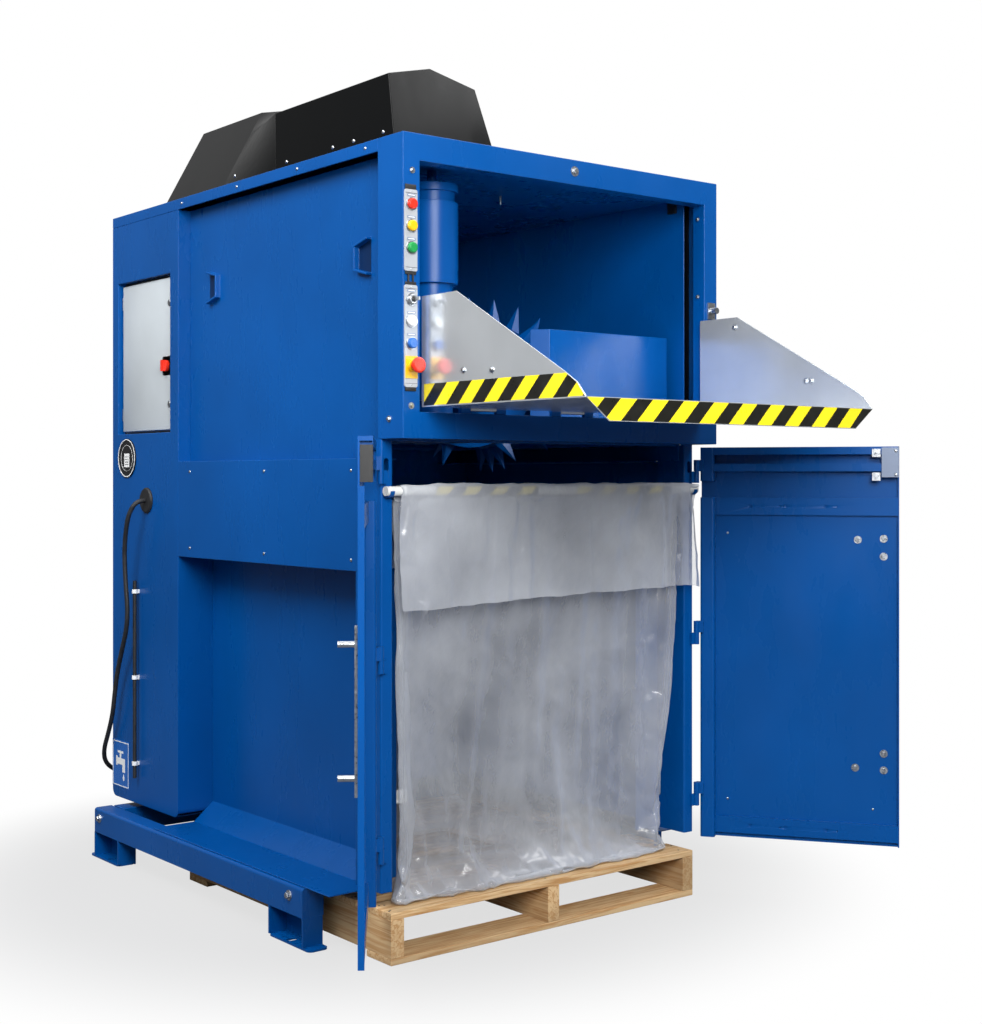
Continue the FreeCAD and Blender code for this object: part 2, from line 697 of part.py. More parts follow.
def power_cable():
    """Cable that hangs from the grommet to the gland at the back."""
    points = cable_route()
    path = cable_path(points)
    ring = Part.Wire(Part.makeCircle(CABLE_RADIUS, points[0], points[1] - points[0]))
    tube = path.makePipeShell([ring], True, True)
    share = tube.Volume / (math.pi * CABLE_RADIUS ** 2 * path.Length)
    print("cable length", round(path.Length), "volume share", round(share, 4))
    return tube


def cable_gland():
    """Gland on the rear wall where the cable goes in."""
    return rod(V(LEFT + GLAND_IN, REAR, GLAND_Z), V(0, 1, 0), GLAND_RADIUS, GLAND_LENGTH)


def hood(sections):
    """Closed hood of flat faces between cross-sections that follow each other along Y."""
    return Part.makeLoft([Part.makePolygon(s + [s[0]]) for s in sections], True, True)


def hood_section(y, lean, left_shoulder, ridge, right_shoulder):
    """Five-cornered cross-section of the hood; the lean sets its top back."""
    def at(x, z):
        return V(LEFT + x, FRONT + y + lean * z / HOOD_RIDGE, HEIGHT + z)
    return [at(HOOD_LEFT, 0), at(*left_shoulder), at(*ridge), at(*right_shoulder), at(HOOD_RIGHT, 0)]


def front_hood():
    """Front part of the roof hood."""
    shoulder = (HOOD_LEFT, HOOD_SHOULDER)
    far = (HOOD_FAR_SHOULDER_X, HOOD_SHOULDER)
    ridge = (HOOD_RIDGE_X, HOOD_RIDGE)
    return hood([hood_section(HOOD_FRONT, HOOD_LEAN, shoulder, ridge, far),
                 hood_section(HOOD_JOINT, 0, shoulder, ridge, far)])


def rear_hood():
    """Rear part of the roof hood, where the upright side folds over to a slope."""
    slope = HOOD_HIGH / (HOOD_HIGH_X - HOOD_LEFT)
    mid_x = HOOD_LEFT + HOOD_SHOULDER / slope
    fold = hood_section(HOOD_FOLD, 0, (mid_x, HOOD_SHOULDER), (HOOD_HIGH_X, HOOD_HIGH),
                        (HOOD_FAR_SHOULDER_X, HOOD_SHOULDER))
    end = hood_section(HOOD_REAR, 0, (mid_x, HOOD_SHOULDER), (HOOD_HIGH_X, HOOD_HIGH),
                       (HOOD_FAR_SHOULDER_X, HOOD_SHOULDER))
    start = hood_section(HOOD_JOINT, 0, (HOOD_LEFT, HOOD_SHOULDER), (HOOD_RIDGE_X, HOOD_RIDGE),
                         (HOOD_FAR_SHOULDER_X, HOOD_SHOULDER))
    return joined([hood([start, fold]), hood([fold, end])])


def door_switch_room(grow):
    """Place of the door switch in the free edge of the left door."""
    z1 = DOOR_TOP - DOOR_SWITCH_DROP
    return box(LEFT_DOOR_END - DOOR_SWITCH_DEPTH - FIT * bool(grow), LEFT_DOOR_END + grow,
               DOOR_FACE + DOOR_SHEET + 1 - FIT * bool(grow), DOOR_FACE + DOOR_THICK + grow,
               z1 - DOOR_SWITCH_HEIGHT - grow, z1 + grow)


def door_band(x0, x1, z0, z1, depth, first_hole):
    """Stiffening channel across the door's inside, with a row of blind holes."""
    y0 = DOOR_FACE + DOOR_SHEET / 2
    y1 = DOOR_FACE + depth
    band = box(x0, x1, y0, y1, z0, z1)
    holes = []
    for i, along in enumerate(DOOR_BAND_HOLES):
        radius = DOOR_HOLE_RADIUS if i % 3 == 0 or i == 2 else DOOR_HOLE_RADIUS / 2
        middle = V(first_hole + along, y1 - DOOR_SHEET, (z0 + z1) / 2)
        holes.append(rod(middle, V(0, 1, 0), radius, DOOR_SHEET + 1))
    return band.cut(holes)


def door_leaf(x1):
    """Left door as it stands shut, up to its free end: a sheet with stiffening folds on its inside."""
    x0 = LEFT - DOOR_AXIS_OUT + DOOR_HINGE_GAP
    y0 = DOOR_FACE
    y1 = y0 + DOOR_THICK
    z0 = DOOR_BOTTOM
    z1 = DOOR_TOP
    notch_low = BAR_Z - BAR_NOTCH / 2
    stile = box(x0, x0 + DOOR_STILE, y0, y1, z0, z1)
    stile = rounded(stile, V(0, 0, 1), DOOR_STILE_ROUND)
    notch = box(x0 - 1, x0 + DOOR_STILE + 1, y0 + DOOR_SHEET, y1 + 1, notch_low, notch_low + BAR_NOTCH)
    inner = x0 + DOOR_STILE - DOOR_SHEET
    parts = [box(x0, x1, y0, y0 + DOOR_SHEET, z0, z1), stile.cut(notch)]
    for top in (z1, z1 - DOOR_RIB_PITCH):
        parts.append(box(inner, x1, y0 + DOOR_SHEET / 2, y1, top - DOOR_RIB, top))
    foot_low = z0 + DOOR_FOOT_RISE
    parts.append(door_band(inner, x1, notch_low - DOOR_BAND, notch_low, DOOR_BAND_DEPTH, x0))
    parts.append(door_band(inner, x1 - DOOR_SHEET, foot_low, foot_low + DOOR_FOOT, DOOR_BAND_DEPTH, x0))
    parts.append(box(x1 - DOOR_SHEET, x1, y0, y0 + DOOR_EDGE, z0, z1))
    return joined(parts)


def door_knuckle(z):
    """Moving hinge barrel of the left door with its strap to the stile."""
    centre = V(LEFT - DOOR_AXIS_OUT, DOOR_AXIS_Y, z + FIT)
    barrel = rod(centre, V(0, 0, 1), HINGE_RADIUS, HINGE_HEIGHT / 2 - FIT)
    strap = box(centre.x - 2, centre.x + DOOR_HINGE_GAP + HINGE_STRAP, DOOR_FACE + DOOR_THICK - MOVING_GAP,
                DOOR_AXIS_Y - 1, centre.z, z + HINGE_HEIGHT / 2)
    hole = rod(centre, V(0, 0, 1), HINGE_PIN + RUNNING_FIT, HINGE_HEIGHT / 2)
    return joined([barrel, strap]).cut(hole)


def hinge_pin(z):
    """Fixed hinge half of the left post: lug, lower barrel and pin."""
    centre = V(LEFT - DOOR_AXIS_OUT, DOOR_AXIS_Y, z - HINGE_HEIGHT / 2)
    barrel = rod(centre, V(0, 0, 1), HINGE_RADIUS, HINGE_HEIGHT / 2)
    pin = rod(centre, V(0, 0, 1), HINGE_PIN, HINGE_HEIGHT)
    lug = box(centre.x, LEFT + HINGE_LUG_IN, DOOR_AXIS_Y, FRONT + POST_FRONT, centre.z, z)
    return joined([barrel, pin, lug])


def swing_left(shape):
    """Left door piece turned to its open place."""
    return turned(shape, V(LEFT - DOOR_AXIS_OUT, DOOR_AXIS_Y, 0), V(0, 0, 1), -DOOR_OPEN)


def swing_right(shape):
    """Right door piece turned to its open place."""
    return turned(mirrored(shape), V(RIGHT + DOOR_AXIS_OUT, DOOR_AXIS_Y, 0), V(0, 0, 1), DOOR_OPEN)


def left_door():
    """Left door leaf with its hinge barrels and the room for its switch."""
    leaf = door_leaf(LEFT_DOOR_END).cut(door_switch_room(DOOR_SWITCH_ROOM))
    return swing_left(joined([leaf] + [door_knuckle(z) for z in HINGE_LEVELS]))


def right_door():
    """Right door leaf with its hinge barrels."""
    return swing_right(joined([door_leaf(RIGHT_DOOR_END)] + [door_knuckle(z) for z in HINGE_LEVELS]))


def striker_plate():
    """Grey plate on the free upper corner of the right door's inside."""
    y1 = DOOR_FACE + DOOR_THICK
    return swing_right(box(RIGHT_DOOR_END - STRIKER_WIDTH, RIGHT_DOOR_END, y1, y1 + STRIKER_THICK,
                           DOOR_TOP - STRIKER_HEIGHT - STRIKER_THICK, DOOR_TOP - STRIKER_THICK))


def switch_housing():
    """Black door switch on the free upper edge of the left door."""
    return swing_left(door_switch_room(0))


def latch_bar():
    """Flat link on the outside of the left door with its two stub grips."""
    x = LEFT_DOOR_END - LATCH_FROM_EDGE
    z0 = DOOR_BOTTOM + LATCH_BOTTOM
    z1 = z0 + LATCH_LENGTH
    bar = box(x - LATCH_WIDTH / 2, x + LATCH_WIDTH / 2, DOOR_FACE - LATCH_THICK, DOOR_FACE, z0, z1)
    start_y = DOOR_FACE - LATCH_THICK / 2
    grips = [rod(V(x, start_y, z), V(0, -1, 0), LATCH_GRIP_RADIUS, LATCH_GRIP_LENGTH + LATCH_THICK / 2)
             for z in (z0 + LATCH_GRIP_IN, z1 - LATCH_GRIP_IN)]
    return swing_left(joined([bar] + grips))


def bag_bar():
    """Round bar across the front that the bag hangs over."""
    return rod(V(LEFT + SHEET, FRONT + BAR_FROM_FRONT, BAR_Z), V(1, 0, 0), BAR_RADIUS, WIDTH - 2 * SHEET)


def bar_holder():
    """Half-round hook on the left post that carries the bag bar."""
    y = FRONT + BAR_FROM_FRONT
    x0 = LEFT + BAR_HOLDER_THICK
    x1 = x0 + BAR_HOLDER_THICK
    radius = BAR_RADIUS + BAR_HOLDER_WALL
    cradle = rod(V(x0, y, BAR_Z), V(1, 0, 0), radius, BAR_HOLDER_THICK)
    upper = box(x0 - 1, x1 + 1, y - 2 * radius, y + 2 * radius, BAR_Z, BAR_Z + 2 * radius)
    bore = rod(V(x0 - 1, y, BAR_Z), V(1, 0, 0), BAR_RADIUS + FIT, BAR_HOLDER_THICK + 2)
    arm = box(x0, x1, y, FRONT + POST_FRONT, BAR_Z - radius, BAR_Z)
    return joined([cradle, arm]).cut(upper).cut(bore)


def flap():
    """Loading flap folded from stainless sheet: tray, two sloping wings and front lip."""
    x0 = OPENING_LEFT + FLAP_SIDE_GAP
    x1 = OPENING_RIGHT - FLAP_SIDE_GAP
    y_lip = FLAP_PIVOT_Y - FLAP_LENGTH
    z0 = FLAP_Z
    tray_rear = FLAP_PIVOT_Y - FLAP_HINGE_RADIUS - FLAP_SHEET
    tray = box(x0, x1, y_lip, tray_rear, z0, z0 + FLAP_SHEET)
    half = FLAP_KNUCKLE / 2
    tabs = [box(x - half, x + half, tray_rear - 1, FLAP_PIVOT_Y, z0, z0 + FLAP_SHEET) for x in FLAP_HINGES]
    wing_line = [V(x0, FLAP_PIVOT_Y, z0), V(x0, FLAP_PIVOT_Y, z0 + FLAP_WING_HEIGHT),
                 V(x0, FLAP_PIVOT_Y - FLAP_WING_FLAT, z0 + FLAP_WING_HEIGHT),
                 V(x0, y_lip + FLAP_WING_END_FROM_LIP, z0 + FLAP_WING_END + FLAP_WING_RISE),
                 V(x0, y_lip + FLAP_WING_STEP_FROM_LIP, z0 + FLAP_WING_END - FLAP_WING_STEP),
                 V(x0, y_lip, z0 + 2 * FLAP_SHEET), V(x0, y_lip, z0)]
    wing = prism(wing_line, V(FLAP_SHEET, 0, 0))
    lip_top = z0 + FLAP_SHEET
    lip_low = lip_top - FLAP_LIP_HEIGHT
    lip = prism([V(x0, y_lip, lip_top), V(x1, y_lip, lip_top), V(x1 - FLAP_LIP_TAPER, y_lip, lip_low),
                 V(x0 + FLAP_LIP_TAPER, y_lip, lip_low)], V(0, -FLAP_SHEET, 0))
    knuckles = [rod(V(x - FLAP_KNUCKLE / 2, FLAP_PIVOT_Y, z0), V(1, 0, 0), FLAP_HINGE_RADIUS, FLAP_KNUCKLE)
                for x in FLAP_HINGES]
    bore = FLAP_HINGE_PIN + RUNNING_FIT
    bores = [rod(V(x - half - 1, FLAP_PIVOT_Y, z0), V(1, 0, 0), bore, FLAP_KNUCKLE + 2) for x in FLAP_HINGES]
    return joined([tray, wing, mirrored(wing), lip] + tabs + knuckles).cut(bores)


def flap_hinge():
    """Hinge barrels and pins of the flap on the lower rail of the surround."""
    parts = []
    half = FLAP_HINGE_RADIUS - 1
    for x in FLAP_HINGES:
        reach = FLAP_KNUCKLE / 2 + FLAP_KNUCKLE_GAP + FLAP_BARREL
        parts.append(rod(V(x - reach, FLAP_PIVOT_Y, FLAP_Z), V(1, 0, 0), FLAP_HINGE_PIN, 2 * reach))
        for start in (x - reach, x + reach - FLAP_BARREL):
            parts.append(rod(V(start, FLAP_PIVOT_Y, FLAP_Z), V(1, 0, 0), FLAP_HINGE_RADIUS, FLAP_BARREL))
            parts.append(box(start, start + FLAP_BARREL, FLAP_PIVOT_Y - half, FLAP_PIVOT_Y + half,
                             OPENING_BOTTOM, FLAP_Z))
    return joined(parts)


def flap_catch():
    """Small catch with a round knob on the right stile."""
    x = RIGHT - CATCH_IN
    z = HEIGHT - CATCH_DROP
    plate = box(x - CATCH_WIDTH / 2, x + CATCH_WIDTH / 2, FRONT - CATCH_THICK, FRONT,
                z - CATCH_HEIGHT / 2, z + CATCH_HEIGHT / 2)
    knob = rod(V(x, FRONT - CATCH_THICK, z), V(0, -1, 0), CATCH_KNOB, CATCH_KNOB_LENGTH)
    return joined([plate, knob])


def chamber_wall():
    """Inner side wall of the feed chamber on the right."""
    return box(CHAMBER_RIGHT, CHAMBER_RIGHT + SHEET, FRONT + CHAMBER_WALL_FRONT, CABINET_Y,
               SURROUND_BOTTOM + SHEET, ROOF_UNDER)


def guard_plate():
    """Upright plate behind the flap, folded back at its left edge."""
    y = FRONT + GUARD_FROM_FRONT
    line = [V(RIGHT - GUARD_RIGHT_IN, y, SHELF_TOP), V(LEFT + GUARD_LEFT, y, SHELF_TOP),
            V(LEFT + GUARD_LEFT - GUARD_FOLD, y + GUARD_FOLD, SHELF_TOP)]
    return folded_sheet(line, -SHEET, V(0, 0, GUARD_HEIGHT))


def chamber_shelf():
    """Frame plate under the feed chamber that carries the column and the guard plate."""
    y0 = FRONT + SURROUND_DEPTH
    z0 = SHELF_TOP - SHELF_THICK
    z1 = SHELF_TOP
    outer = box(LEFT + PANEL_RECESS + SHEET, CHAMBER_RIGHT, y0, CABINET_Y, z0, z1)
    wide_hole = box(LEFT + PANEL_RECESS + SHELF_CORNER_X, CHAMBER_RIGHT - SHELF_FRAME, y0 + SHELF_FRONT,
                    CABINET_Y - SHELF_REAR, z0 - 1, z1 + 1)
    side_hole = box(LEFT + PANEL_RECESS + SHELF_FRAME, CHAMBER_RIGHT - SHELF_FRAME, y0 + SHELF_CORNER_Y,
                    CABINET_Y - SHELF_REAR, z0 - 1, z1 + 1)
    return outer.cut([wide_hole, side_hole])


def column_centre(z):
    """Point on the swivel axis."""
    return V(LEFT + COLUMN_X, FRONT + COLUMN_Y, z)


def swivel_column():
    """Upright column that the arm swings about, stepped at the top."""
    ring = COLUMN_BODY_TOP + COLUMN_NECK_HEIGHT
    top = ring + COLUMN_RING_HEIGHT
    bottom = COLUMN_BODY_TOP - COLUMN_BODY_HEIGHT
    steps = [(SHELF_TOP, COLUMN_LOW_RADIUS), (bottom, COLUMN_LOW_RADIUS), (bottom, COLUMN_RADIUS),
             (COLUMN_BODY_TOP, COLUMN_RADIUS), (COLUMN_BODY_TOP, COLUMN_NECK), (ring, COLUMN_NECK),
             (ring, COLUMN_RADIUS), (top, COLUMN_RADIUS), (top, COLUMN_ROD), (HEIGHT - SHEET, COLUMN_ROD)]
    base = column_centre(0)
    outline = [V(base.x, base.y, steps[0][0])]
    outline += [V(base.x + radius, base.y, z) for z, radius in steps]
    outline.append(V(base.x, base.y, steps[-1][0]))
    face = Part.Face(Part.makePolygon(outline + [outline[0]]))
    return face.revolve(base, V(0, 0, 1), 360)


def arm_direction():
    """Level direction of the arm, from the column to the drum."""
    a = math.radians(ARM_ANGLE)
    return V(math.cos(a), math.sin(a), 0)


def rotor_arm():
    """Arm with its hub round the column and its bearing boss at the drum."""
    base = column_centre(ARM_Z - ARM_HEIGHT / 2)
    hub = rod(base, V(0, 0, 1), COLUMN_LOW_RADIUS + ARM_HUB_WALL, ARM_HEIGHT)
    beam = box(0, ARM_REACH, -ARM_WIDTH / 2, ARM_WIDTH / 2, 0, ARM_HEIGHT)
    beam = rounded(beam, V(1, 0, 0), ARM_ROUND)
    beam.translate(base)
    beam = turned(beam, base, V(0, 0, 1), ARM_ANGLE)
    bore = rod(base, V(0, 0, 1), COLUMN_LOW_RADIUS + RUNNING_FIT, ARM_HEIGHT)
    d = arm_direction()
    start = column_centre(ARM_Z) + d * (ARM_REACH - 1)
    boss = rod(start, d, BEARING_RADIUS, BEARING_LENGTH + 1)
    shaft = rod(start, d, SHAFT_RADIUS, BEARING_LENGTH + DRUM_GAP + SHAFT_SEAT - MOVING_GAP)
    return joined([hub, beam, boss, shaft]).cut(bore)


def spike(x, degrees):
    """Four-sided pointed tooth on the drum that leans with its turn."""
    half = SPIKE_BASE / 2
    edge = SPIKE_THICK / 2
    low = DRUM_RADIUS - SPIKE_SUNK
    tip = V(x, SPIKE_LEAN, DRUM_RADIUS + SPIKE_LENGTH)
    base = [V(x - edge, 0, low), V(x, -half, low), V(x + edge, 0, low), V(x, half, low)]
    faces = [Part.Face(Part.makePolygon(base + [base[0]]))]
    for i in range(4):
        a = base[i]
        b = base[(i + 1) % 4]
        faces.append(Part.Face(Part.makePolygon([a, b, tip, a])))
    tooth = Part.Solid(Part.Shell(faces))
    if tooth.Volume < 0:
        tooth.reverse()
    return turned(tooth, V(0, 0, 0), V(1, 0, 0), degrees)


def rotor_drum():
    """Round drum with a domed end and rows of pointed teeth."""
    origin = V(0, 0, 0)
    bore = SHAFT_RADIUS + RUNNING_FIT
    end = DRUM_LENGTH + DRUM_DOME
    outline = [V(0, bore, 0), V(0, DRUM_RADIUS, 0), V(DRUM_LENGTH, DRUM_RADIUS, 0),
               V(end, DRUM_RADIUS * DRUM_DOME_SHARE, 0), V(end, 0, 0), V(SHAFT_SEAT, 0, 0),
               V(SHAFT_SEAT, bore, 0)]
    body = Part.Face(Part.makePolygon(outline + [outline[0]])).revolve(origin, V(1, 0, 0), 360)
    teeth = []
    for row in range(SPIKE_ROWS):
        x = DRUM_LENGTH * (row + 0.5) / SPIKE_ROWS
        for i in range(SPIKES_PER_ROW):
            teeth.append(spike(x, 360.0 * (i + row / SPIKE_ROWS) / SPIKES_PER_ROW))
    whole = body.fuse(teeth)
    whole.rotate(origin, V(0, 0, 1), ARM_ANGLE)
    whole.translate(column_centre(ARM_Z) + arm_direction() * DRUM_NEAR)
    return whole


def control_box(top, height):
    """Narrow push-button box let into the left stile."""
    x0 = LEFT + BOX_IN
    block = box(x0, x0 + BOX_WIDTH, FRONT - BOX_PROUD, FRONT, top - height, top)
    return rounded(block, V(0, 1, 0), BOX_ROUND)


def front_circles(shape, y):
    """Round edges of a shape that lie in front of a plane."""
    return [e for e in shape.Edges if isinstance(e.Curve, Part.Circle) and e.Curve.Center.y < y]


def button(top, index):
    """Round push button, counted from the top of its control box."""
    centre = V(BUTTON_X, FRONT - BOX_PROUD, top - BUTTON_FROM_TOP - BUTTON_PITCH * index)
    disc = rod(centre, V(0, -1, 0), BUTTON_RADIUS, BUTTON_LENGTH)
    return disc.makeChamfer(BUTTON_EDGE, front_circles(disc, centre.y - 1))


def stop_place():
    """Point on the control box behind the stop button's middle."""
    return V(BUTTON_X, FRONT - BOX_PROUD, LOWER_BOX_TOP - STOP_FROM_TOP)


def stop_collar():
    """Fixed collar and yellow field behind the stop button."""
    p = stop_place()
    field = box(p.x - STOP_FIELD / 2, p.x + STOP_FIELD / 2, p.y - STOP_FIELD_THICK, p.y,
                p.z - STOP_FIELD_DOWN, p.z + STOP_FIELD_UP)
    collar = rod(p, V(0, -1, 0), STOP_NECK + STOP_COLLAR_WALL, STOP_COLLAR_LENGTH)
    hole = rod(p, V(0, -1, 0), STOP_NECK + RUNNING_FIT, STOP_COLLAR_LENGTH + 1)
    return joined([field, collar]).cut(hole)


def stop_button():
    """Mushroom head of the stop button on its stem."""
    p = stop_place() + V(0, -STOP_TRAVEL - 1, 0)
    stem = rod(p, V(0, -1, 0), STOP_NECK, STOP_STEM)
    neck_end = p + V(0, -STOP_COLLAR_LENGTH, 0)
    head = Part.makeCone(STOP_NECK + STOP_COLLAR_WALL - 1, STOP_RADIUS, STOP_CONE, neck_end, V(0, -1, 0))
    cap = rod(neck_end + V(0, -STOP_CONE, 0), V(0, -1, 0), STOP_RADIUS, STOP_CAP)
    cap = cap.makeChamfer(STOP_EDGE, front_circles(cap, neck_end.y - STOP_CONE - 1))
    return joined([stem, head, cap])


def pallet_corner():
    """Front left corner of the pallet on the floor."""
    return V(-PALLET_OFF_CENTRE - PALLET_SIZE / 2, FRONT + PALLET_FROM_FRONT, 0)


def pallet_stringers():
    """Long timbers of the pallet, standing on edge."""
    p = pallet_corner()
    pitch = (PALLET_SIZE - STRINGER_WIDTH) / (STRINGERS - 1)
    parts = []
    for i in range(STRINGERS):
        x = p.x + i * pitch
        top = PALLET_HEIGHT - BOARD_THICK
        parts.append(box(x, x + STRINGER_WIDTH, p.y, p.y + PALLET_SIZE, BOARD_THICK, top))
    return Part.makeCompound(parts)


def pallet_boards(count, width, z):
    """Row of boards across the stringers."""
    p = pallet_corner()
    parts = []
    for i in range(count):
        y = p.y + i * (PALLET_SIZE - width) / (count - 1)
        parts.append(box(p.x, p.x + PALLET_SIZE, y, y + width, z, z + BOARD_THICK))
    return Part.makeCompound(parts)


def bag_section(z, inset, waist):
    """Outline of the bag at one height: broad between the posts, narrower between the walls.

    The inset steps inwards by the skin, and the waist draws all sides in.
    """
    broad = WIDTH / 2 - POST_WIDTH - BAG_POST_GAP - inset - waist
    narrow = WIDTH / 2 - LOWER_RECESS - SHEET - BAG_SIDE_GAP - inset - waist
    y0 = FRONT + BAG_FRONT - BAG_BULGE + inset + waist / 2
    step = FRONT + POST_FRONT + POST_DEPTH - BAG_SIDE_GAP - BAG_CORNER - inset
    y1 = FRONT + BAG_REAR - inset - waist
    cut = BAG_CORNER
    right = [(broad - cut, y0), (broad, y0 + cut), (broad, step), (narrow, step + cut), (narrow, y1 - cut),
             (narrow - cut, y1)]
    points = [V(x, y, z) for x, y in right] + [V(-x, y, z) for x, y in right[::-1]]
    return Part.makePolygon(points + [points[0]])


def bag_cuff():
    """Upper end of the bag, folded forward over the bar and hanging down in front of it."""
    x0 = LEFT + CUFF_SIDE
    y = FRONT + BAR_FROM_FRONT
    inner = BAR_RADIUS + FIT
    outer = inner + CUFF_SKIN
    length = WIDTH - 2 * CUFF_SIDE
    start = V(x0, y, BAR_Z)
    ring = rod(start, V(1, 0, 0), outer, length).cut(rod(start, V(1, 0, 0), inner, length))
    lower_half = box(x0, x0 + length, y - outer, y + outer, BAR_Z - outer, BAR_Z)
    front_leg = box(x0, x0 + length, y - outer, y - inner, BAR_Z - CUFF_LENGTH, BAR_Z)
    rear_leg = box(x0, x0 + length, y + inner, y + outer, BAG_MOUTH_Z - BAG_MOUTH_DROP, BAR_Z)
    return joined([ring.cut(lower_half), front_leg, rear_leg])


def bag():
    """Plastic bag that stands on the pallet, open at the top."""
    floor = PALLET_HEIGHT + FIT
    rise = BAG_MOUTH_Z - floor
    waists = [(0.0, 30.0), (0.06, 4.0), (0.4, 0.0), (0.8, 10.0), (1.0, 2 * BAG_BULGE)]
    levels = [(floor + rise * share, waist) for share, waist in waists]
    outer = Part.makeLoft([bag_section(z, 0, waist) for z, waist in levels], True, True)
    levels[0] = (floor + BAG_SKIN, waists[0][1])
    levels[-1] = (BAG_MOUTH_Z + 1, waists[-1][1])
    inner = Part.makeLoft([bag_section(z, BAG_SKIN, waist) for z, waist in levels], True, True)
    return joined([outer.cut(inner), bag_cuff()])


def save(name, shape):
    """Writes one node."""
    shape.exportStep("parts/" + name + ".step")


def main():
    os.makedirs("parts", exist_ok=True)
    front_slot = FRONT + ANCHOR_FROM_FRONT
    rear_slot = front_slot + ANCHOR_SPACING_Y
    save("left_rail", rail())
    save("right_rail", mirrored(rail()))
    save("rear_crossbeam", crossbeam())
    save("front_left_foot", foot(front_slot, -1))
    save("rear_left_foot", foot(rear_slot, 1))
    save("front_right_foot", mirrored(foot(front_slot, -1)))
    save("rear_right_foot", mirrored(foot(rear_slot, 1)))
    save("left_lower_wall", lower_wall())
    save("right_lower_wall", mirrored(lower_wall()))
    save("left_belt", belt())
    save("right_belt", mirrored(belt()))
    save("left_upper_panel", upper_panel())
    save("right_upper_panel", mirrored(upper_panel()))
    save("left_post", joined([post(), bar_holder()] + [hinge_pin(z) for z in HINGE_LEVELS]))
    save("right_post", mirrored(joined([post(), bar_holder()] + [hinge_pin(z) for z in HINGE_LEVELS])))
    save("loading_surround", surround())
    save("roof", roof())
    save("rear_cabinet", rear_cabinet())
    save("electrical_enclosure", electrical_enclosure())
    save("main_switch", main_switch())
    save("main_switch_knob", main_switch_knob())
    save("round_plate", round_plate())
    save("cable_grommet", cable_grommet())
    save("drain_hose", drain_hose())
    save("hose_clips", hose_clips())
    save("power_cable", power_cable())
    save("cable_gland", cable_gland())
    save("front_hood", front_hood())
    save("rear_hood", rear_hood())
    save("left_door", left_door())
    save("right_door", right_door())
    save("striker_plate", striker_plate())
    save("switch_housing", switch_housing())
    save("latch_bar", latch_bar())
    save("bag_bar", bag_bar())
    save("loading_flap", flap())
    save("flap_hinge", flap_hinge())
    save("flap_catch", flap_catch())
    save("right_chamber_wall", chamber_wall())
    save("guard_plate", guard_plate())
    save("chamber_shelf", chamber_shelf())
    save("swivel_column", swivel_column())
    save("rotor_arm", rotor_arm())
    save("rotor_drum", rotor_drum())
    save("upper_control_box", control_box(UPPER_BOX_TOP, UPPER_BOX_HEIGHT))
    save("lower_control_box", control_box(LOWER_BOX_TOP, LOWER_BOX_HEIGHT))
    save("red_button", button(UPPER_BOX_TOP, 0))
    save("yellow_button", button(UPPER_BOX_TOP, 1))
    save("green_button", button(UPPER_BOX_TOP, 2))
    save("key_switch", button(LOWER_BOX_TOP, 0))
    save("white_button", button(LOWER_BOX_TOP, 1))
    save("blue_button", button(LOWER_BOX_TOP, 2))
    save("stop_collar", stop_collar())
    save("stop_button", stop_button())
    save("pallet_stringers", pallet_stringers())
    save("pallet_top_boards", pallet_boards(TOP_BOARDS, TOP_BOARD_WIDTH, PALLET_HEIGHT - BOARD_THICK))
    save("pallet_floor_boards", pallet_boards(FLOOR_BOARDS, FLOOR_BOARD_WIDTH, 0.0))
    save("bag", bag())


main()
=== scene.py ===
"""Finishes, bag, cable and small fittings of a rotary waste compactor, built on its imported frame.

Metres, +Z up. The loading side looks along -Y, and X runs to the right seen from there.
"""

import json
import math
import random

import bmesh
import bpy
from mathutils import Matrix, Vector, noise


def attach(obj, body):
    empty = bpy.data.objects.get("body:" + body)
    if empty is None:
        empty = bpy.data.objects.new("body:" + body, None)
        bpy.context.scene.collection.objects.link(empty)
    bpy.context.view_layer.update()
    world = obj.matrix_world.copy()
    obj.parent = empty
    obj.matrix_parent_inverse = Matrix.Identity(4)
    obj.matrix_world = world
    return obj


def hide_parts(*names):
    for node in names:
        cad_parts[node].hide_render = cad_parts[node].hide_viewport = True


bl_info = {
    "name": "Rotary waste compactor",
    "version": (1, 0, 0),
    "blender": (4, 5, 0),
    "location": "View3D > Sidebar > Compactor",
    "description": "Finishes, film bag, cable and fasteners of a rotary waste compactor",
    "category": "Object",
}

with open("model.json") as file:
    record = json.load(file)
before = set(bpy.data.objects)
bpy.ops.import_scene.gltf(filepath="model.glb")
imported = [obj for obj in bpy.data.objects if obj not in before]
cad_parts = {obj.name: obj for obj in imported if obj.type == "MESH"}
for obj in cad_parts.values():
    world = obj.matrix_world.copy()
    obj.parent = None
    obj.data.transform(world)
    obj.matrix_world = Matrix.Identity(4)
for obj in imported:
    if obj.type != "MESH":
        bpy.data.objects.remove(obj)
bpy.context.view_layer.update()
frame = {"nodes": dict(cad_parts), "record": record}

MM = 0.001
HOUSING = "housing"


def linear(code):
    """Linear colour of an sRGB hex value, with alpha 1."""
    def channel(text):
        c = int(text, 16) / 255
        return c / 12.92 if c <= 0.04045 else ((c + 0.055) / 1.055) ** 2.4
    return (channel(code[1:3]), channel(code[3:5]), channel(code[5:7]), 1.0)


def colour_property(name, code, description):
    """Colour setting with its default as an sRGB hex value."""
    return bpy.props.FloatVectorProperty(name=name, description=description, default=linear(code),
                                         size=4, subtype="COLOR", min=0.0, max=1.0)


def length_property(name, mm, description):
    """Length setting with its default in millimetres."""
    return bpy.props.FloatProperty(name=name, description=description, default=mm * MM, min=0.0,
                                   subtype="DISTANCE", unit="LENGTH", precision=5)


